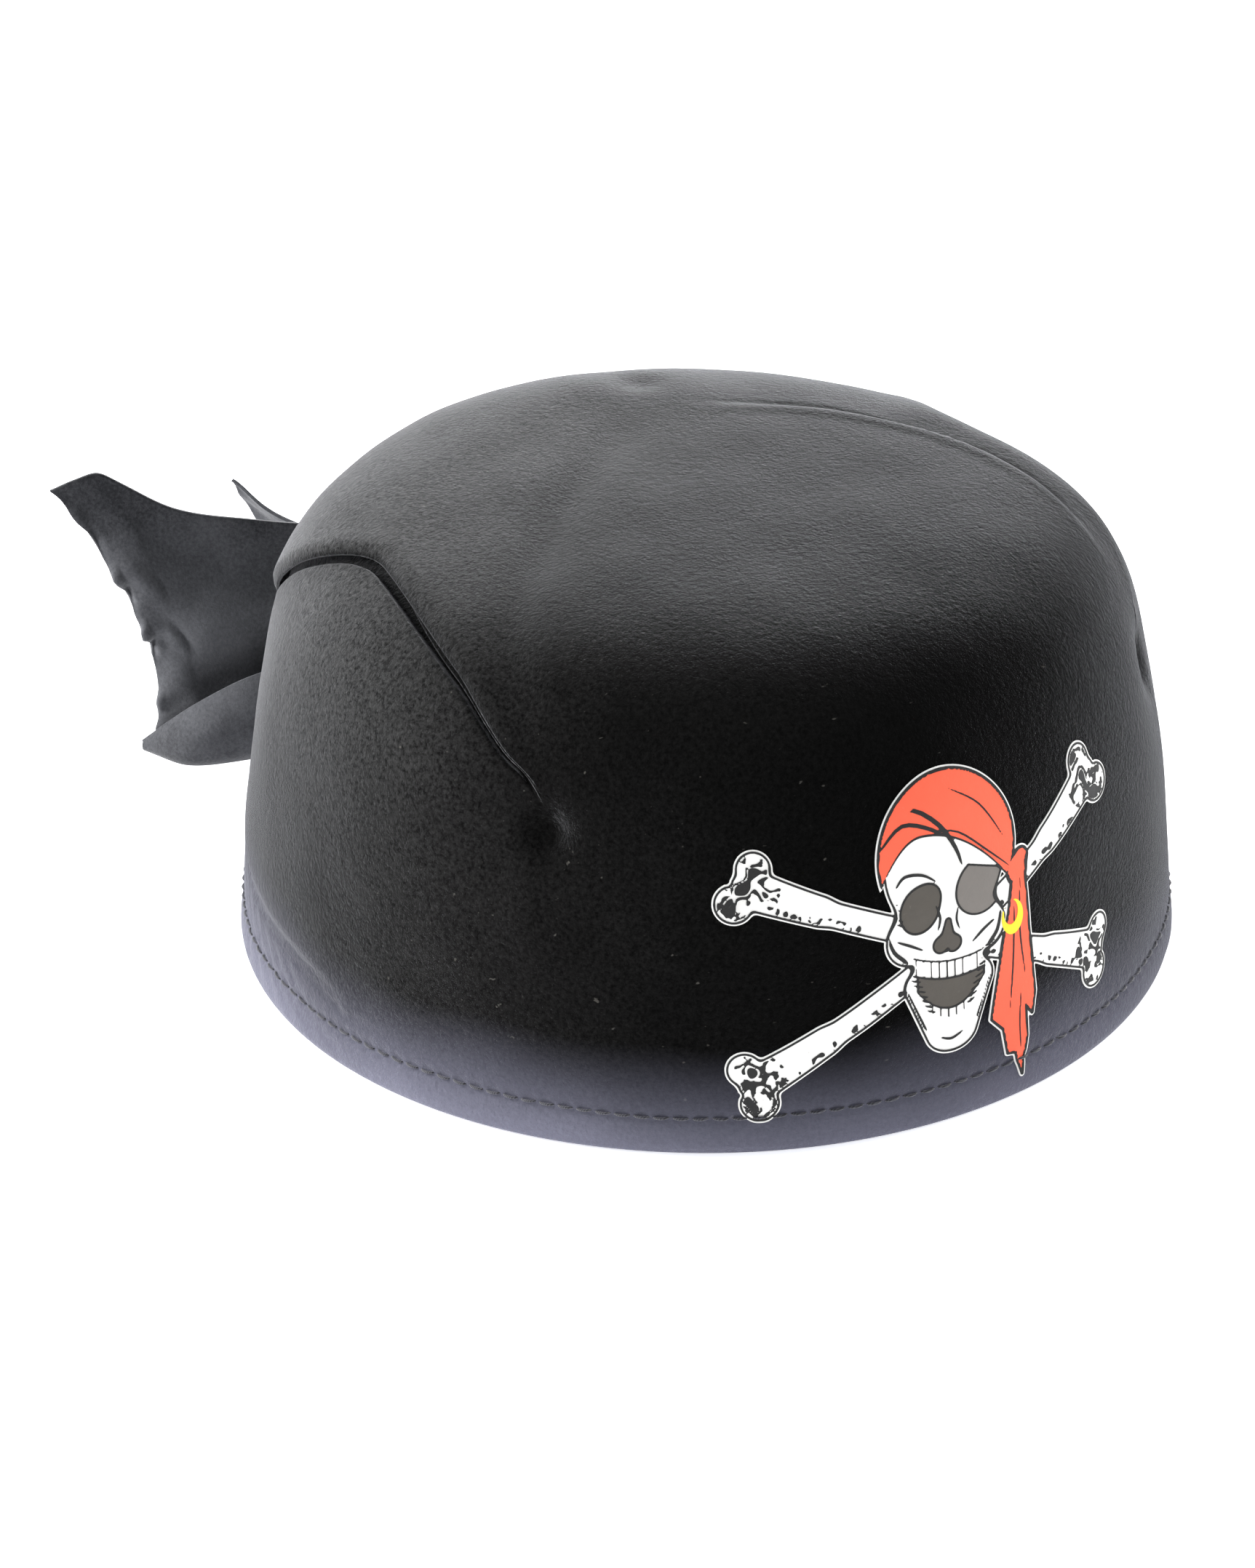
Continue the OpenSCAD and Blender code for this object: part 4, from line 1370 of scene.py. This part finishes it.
def camera():
    data = bpy.data.cameras.new("photo_view")
    cam = bpy.data.objects.new("photo_view", data)
    bpy.context.scene.collection.objects.link(cam)
    level = math.cos(CAMERA_RISE)
    toward = Vector((math.cos(CAMERA_TURN) * level, math.sin(CAMERA_TURN) * level, math.sin(CAMERA_RISE)))
    cam.location = Vector(AIM) + toward * CAMERA_AWAY
    cam.rotation_mode = "QUATERNION"
    cam.rotation_quaternion = (-toward).to_track_quat("-Z", "Y")
    data.sensor_width = 36
    data.lens = PIXELS_PER_METRE * CAMERA_AWAY / LONG_SIDE * data.sensor_width
    data.shift_x = -FRAME_SHIFT[0] / LONG_SIDE
    data.shift_y = FRAME_SHIFT[1] / LONG_SIDE
    data.clip_start = 0.05
    bpy.context.scene.camera = cam


# ---------------------------------------------------------------- assembly

def build():
    camera()
    felt = felt_material("black_felt", (0.0006, 0.0006, 0.0005), (0.0120, 0.0118, 0.0115), 0.56,
                         painted_rim_light=0.95, painted_side_light=True)
    hem_felt = felt_material("black_felt_fold", (0.004, 0.004, 0.005), (0.016, 0.016, 0.02), 0.6,
                             painted_rim_light=0.95, unshaded=None)
    tail_cloth = tail_material()
    thread = thread_material("black_thread", (0.004, 0.004, 0.005), (0.02, 0.02, 0.024))
    hem_thread = thread_material("slate_thread", (0.012, 0.012, 0.016), (0.06, 0.06, 0.075))
    board = felt_material("stiffener_felt", (0.16, 0.155, 0.14), (0.36, 0.35, 0.31), 0.2, unshaded=None)
    lining = woven_material("black_lining", (0.006, 0.006, 0.008), (0.028, 0.028, 0.034), 0.0011, sheen=0.3)
    tape = woven_material("black_twill_tape", (0.008, 0.008, 0.010), (0.040, 0.040, 0.046), 0.0016,
                          twill=True)
    label = woven_material("blank_satin_label", (0.52, 0.50, 0.45), (0.78, 0.76, 0.70), 0.0007, sheen=0.4)
    dress(felt_cover(), felt)
    dress(turned_hem(), hem_felt)
    dress(hem_stitches(), hem_thread)
    dress(stiffener_shell(), board)
    dress(crown_lining(), lining)
    dress(sweatband(), tape)
    dress(sweatband_stitches(), thread)
    dress(size_label(), label)
    dress(knot(), tail_cloth)
    dress(knot_tacks(), thread)
    dress(right_tail(), tail_cloth)
    dress(left_tail(), tail_cloth)
    emblem()
    stage()
    lights()
    bpy.context.scene.view_settings.view_transform = "Standard"


build()
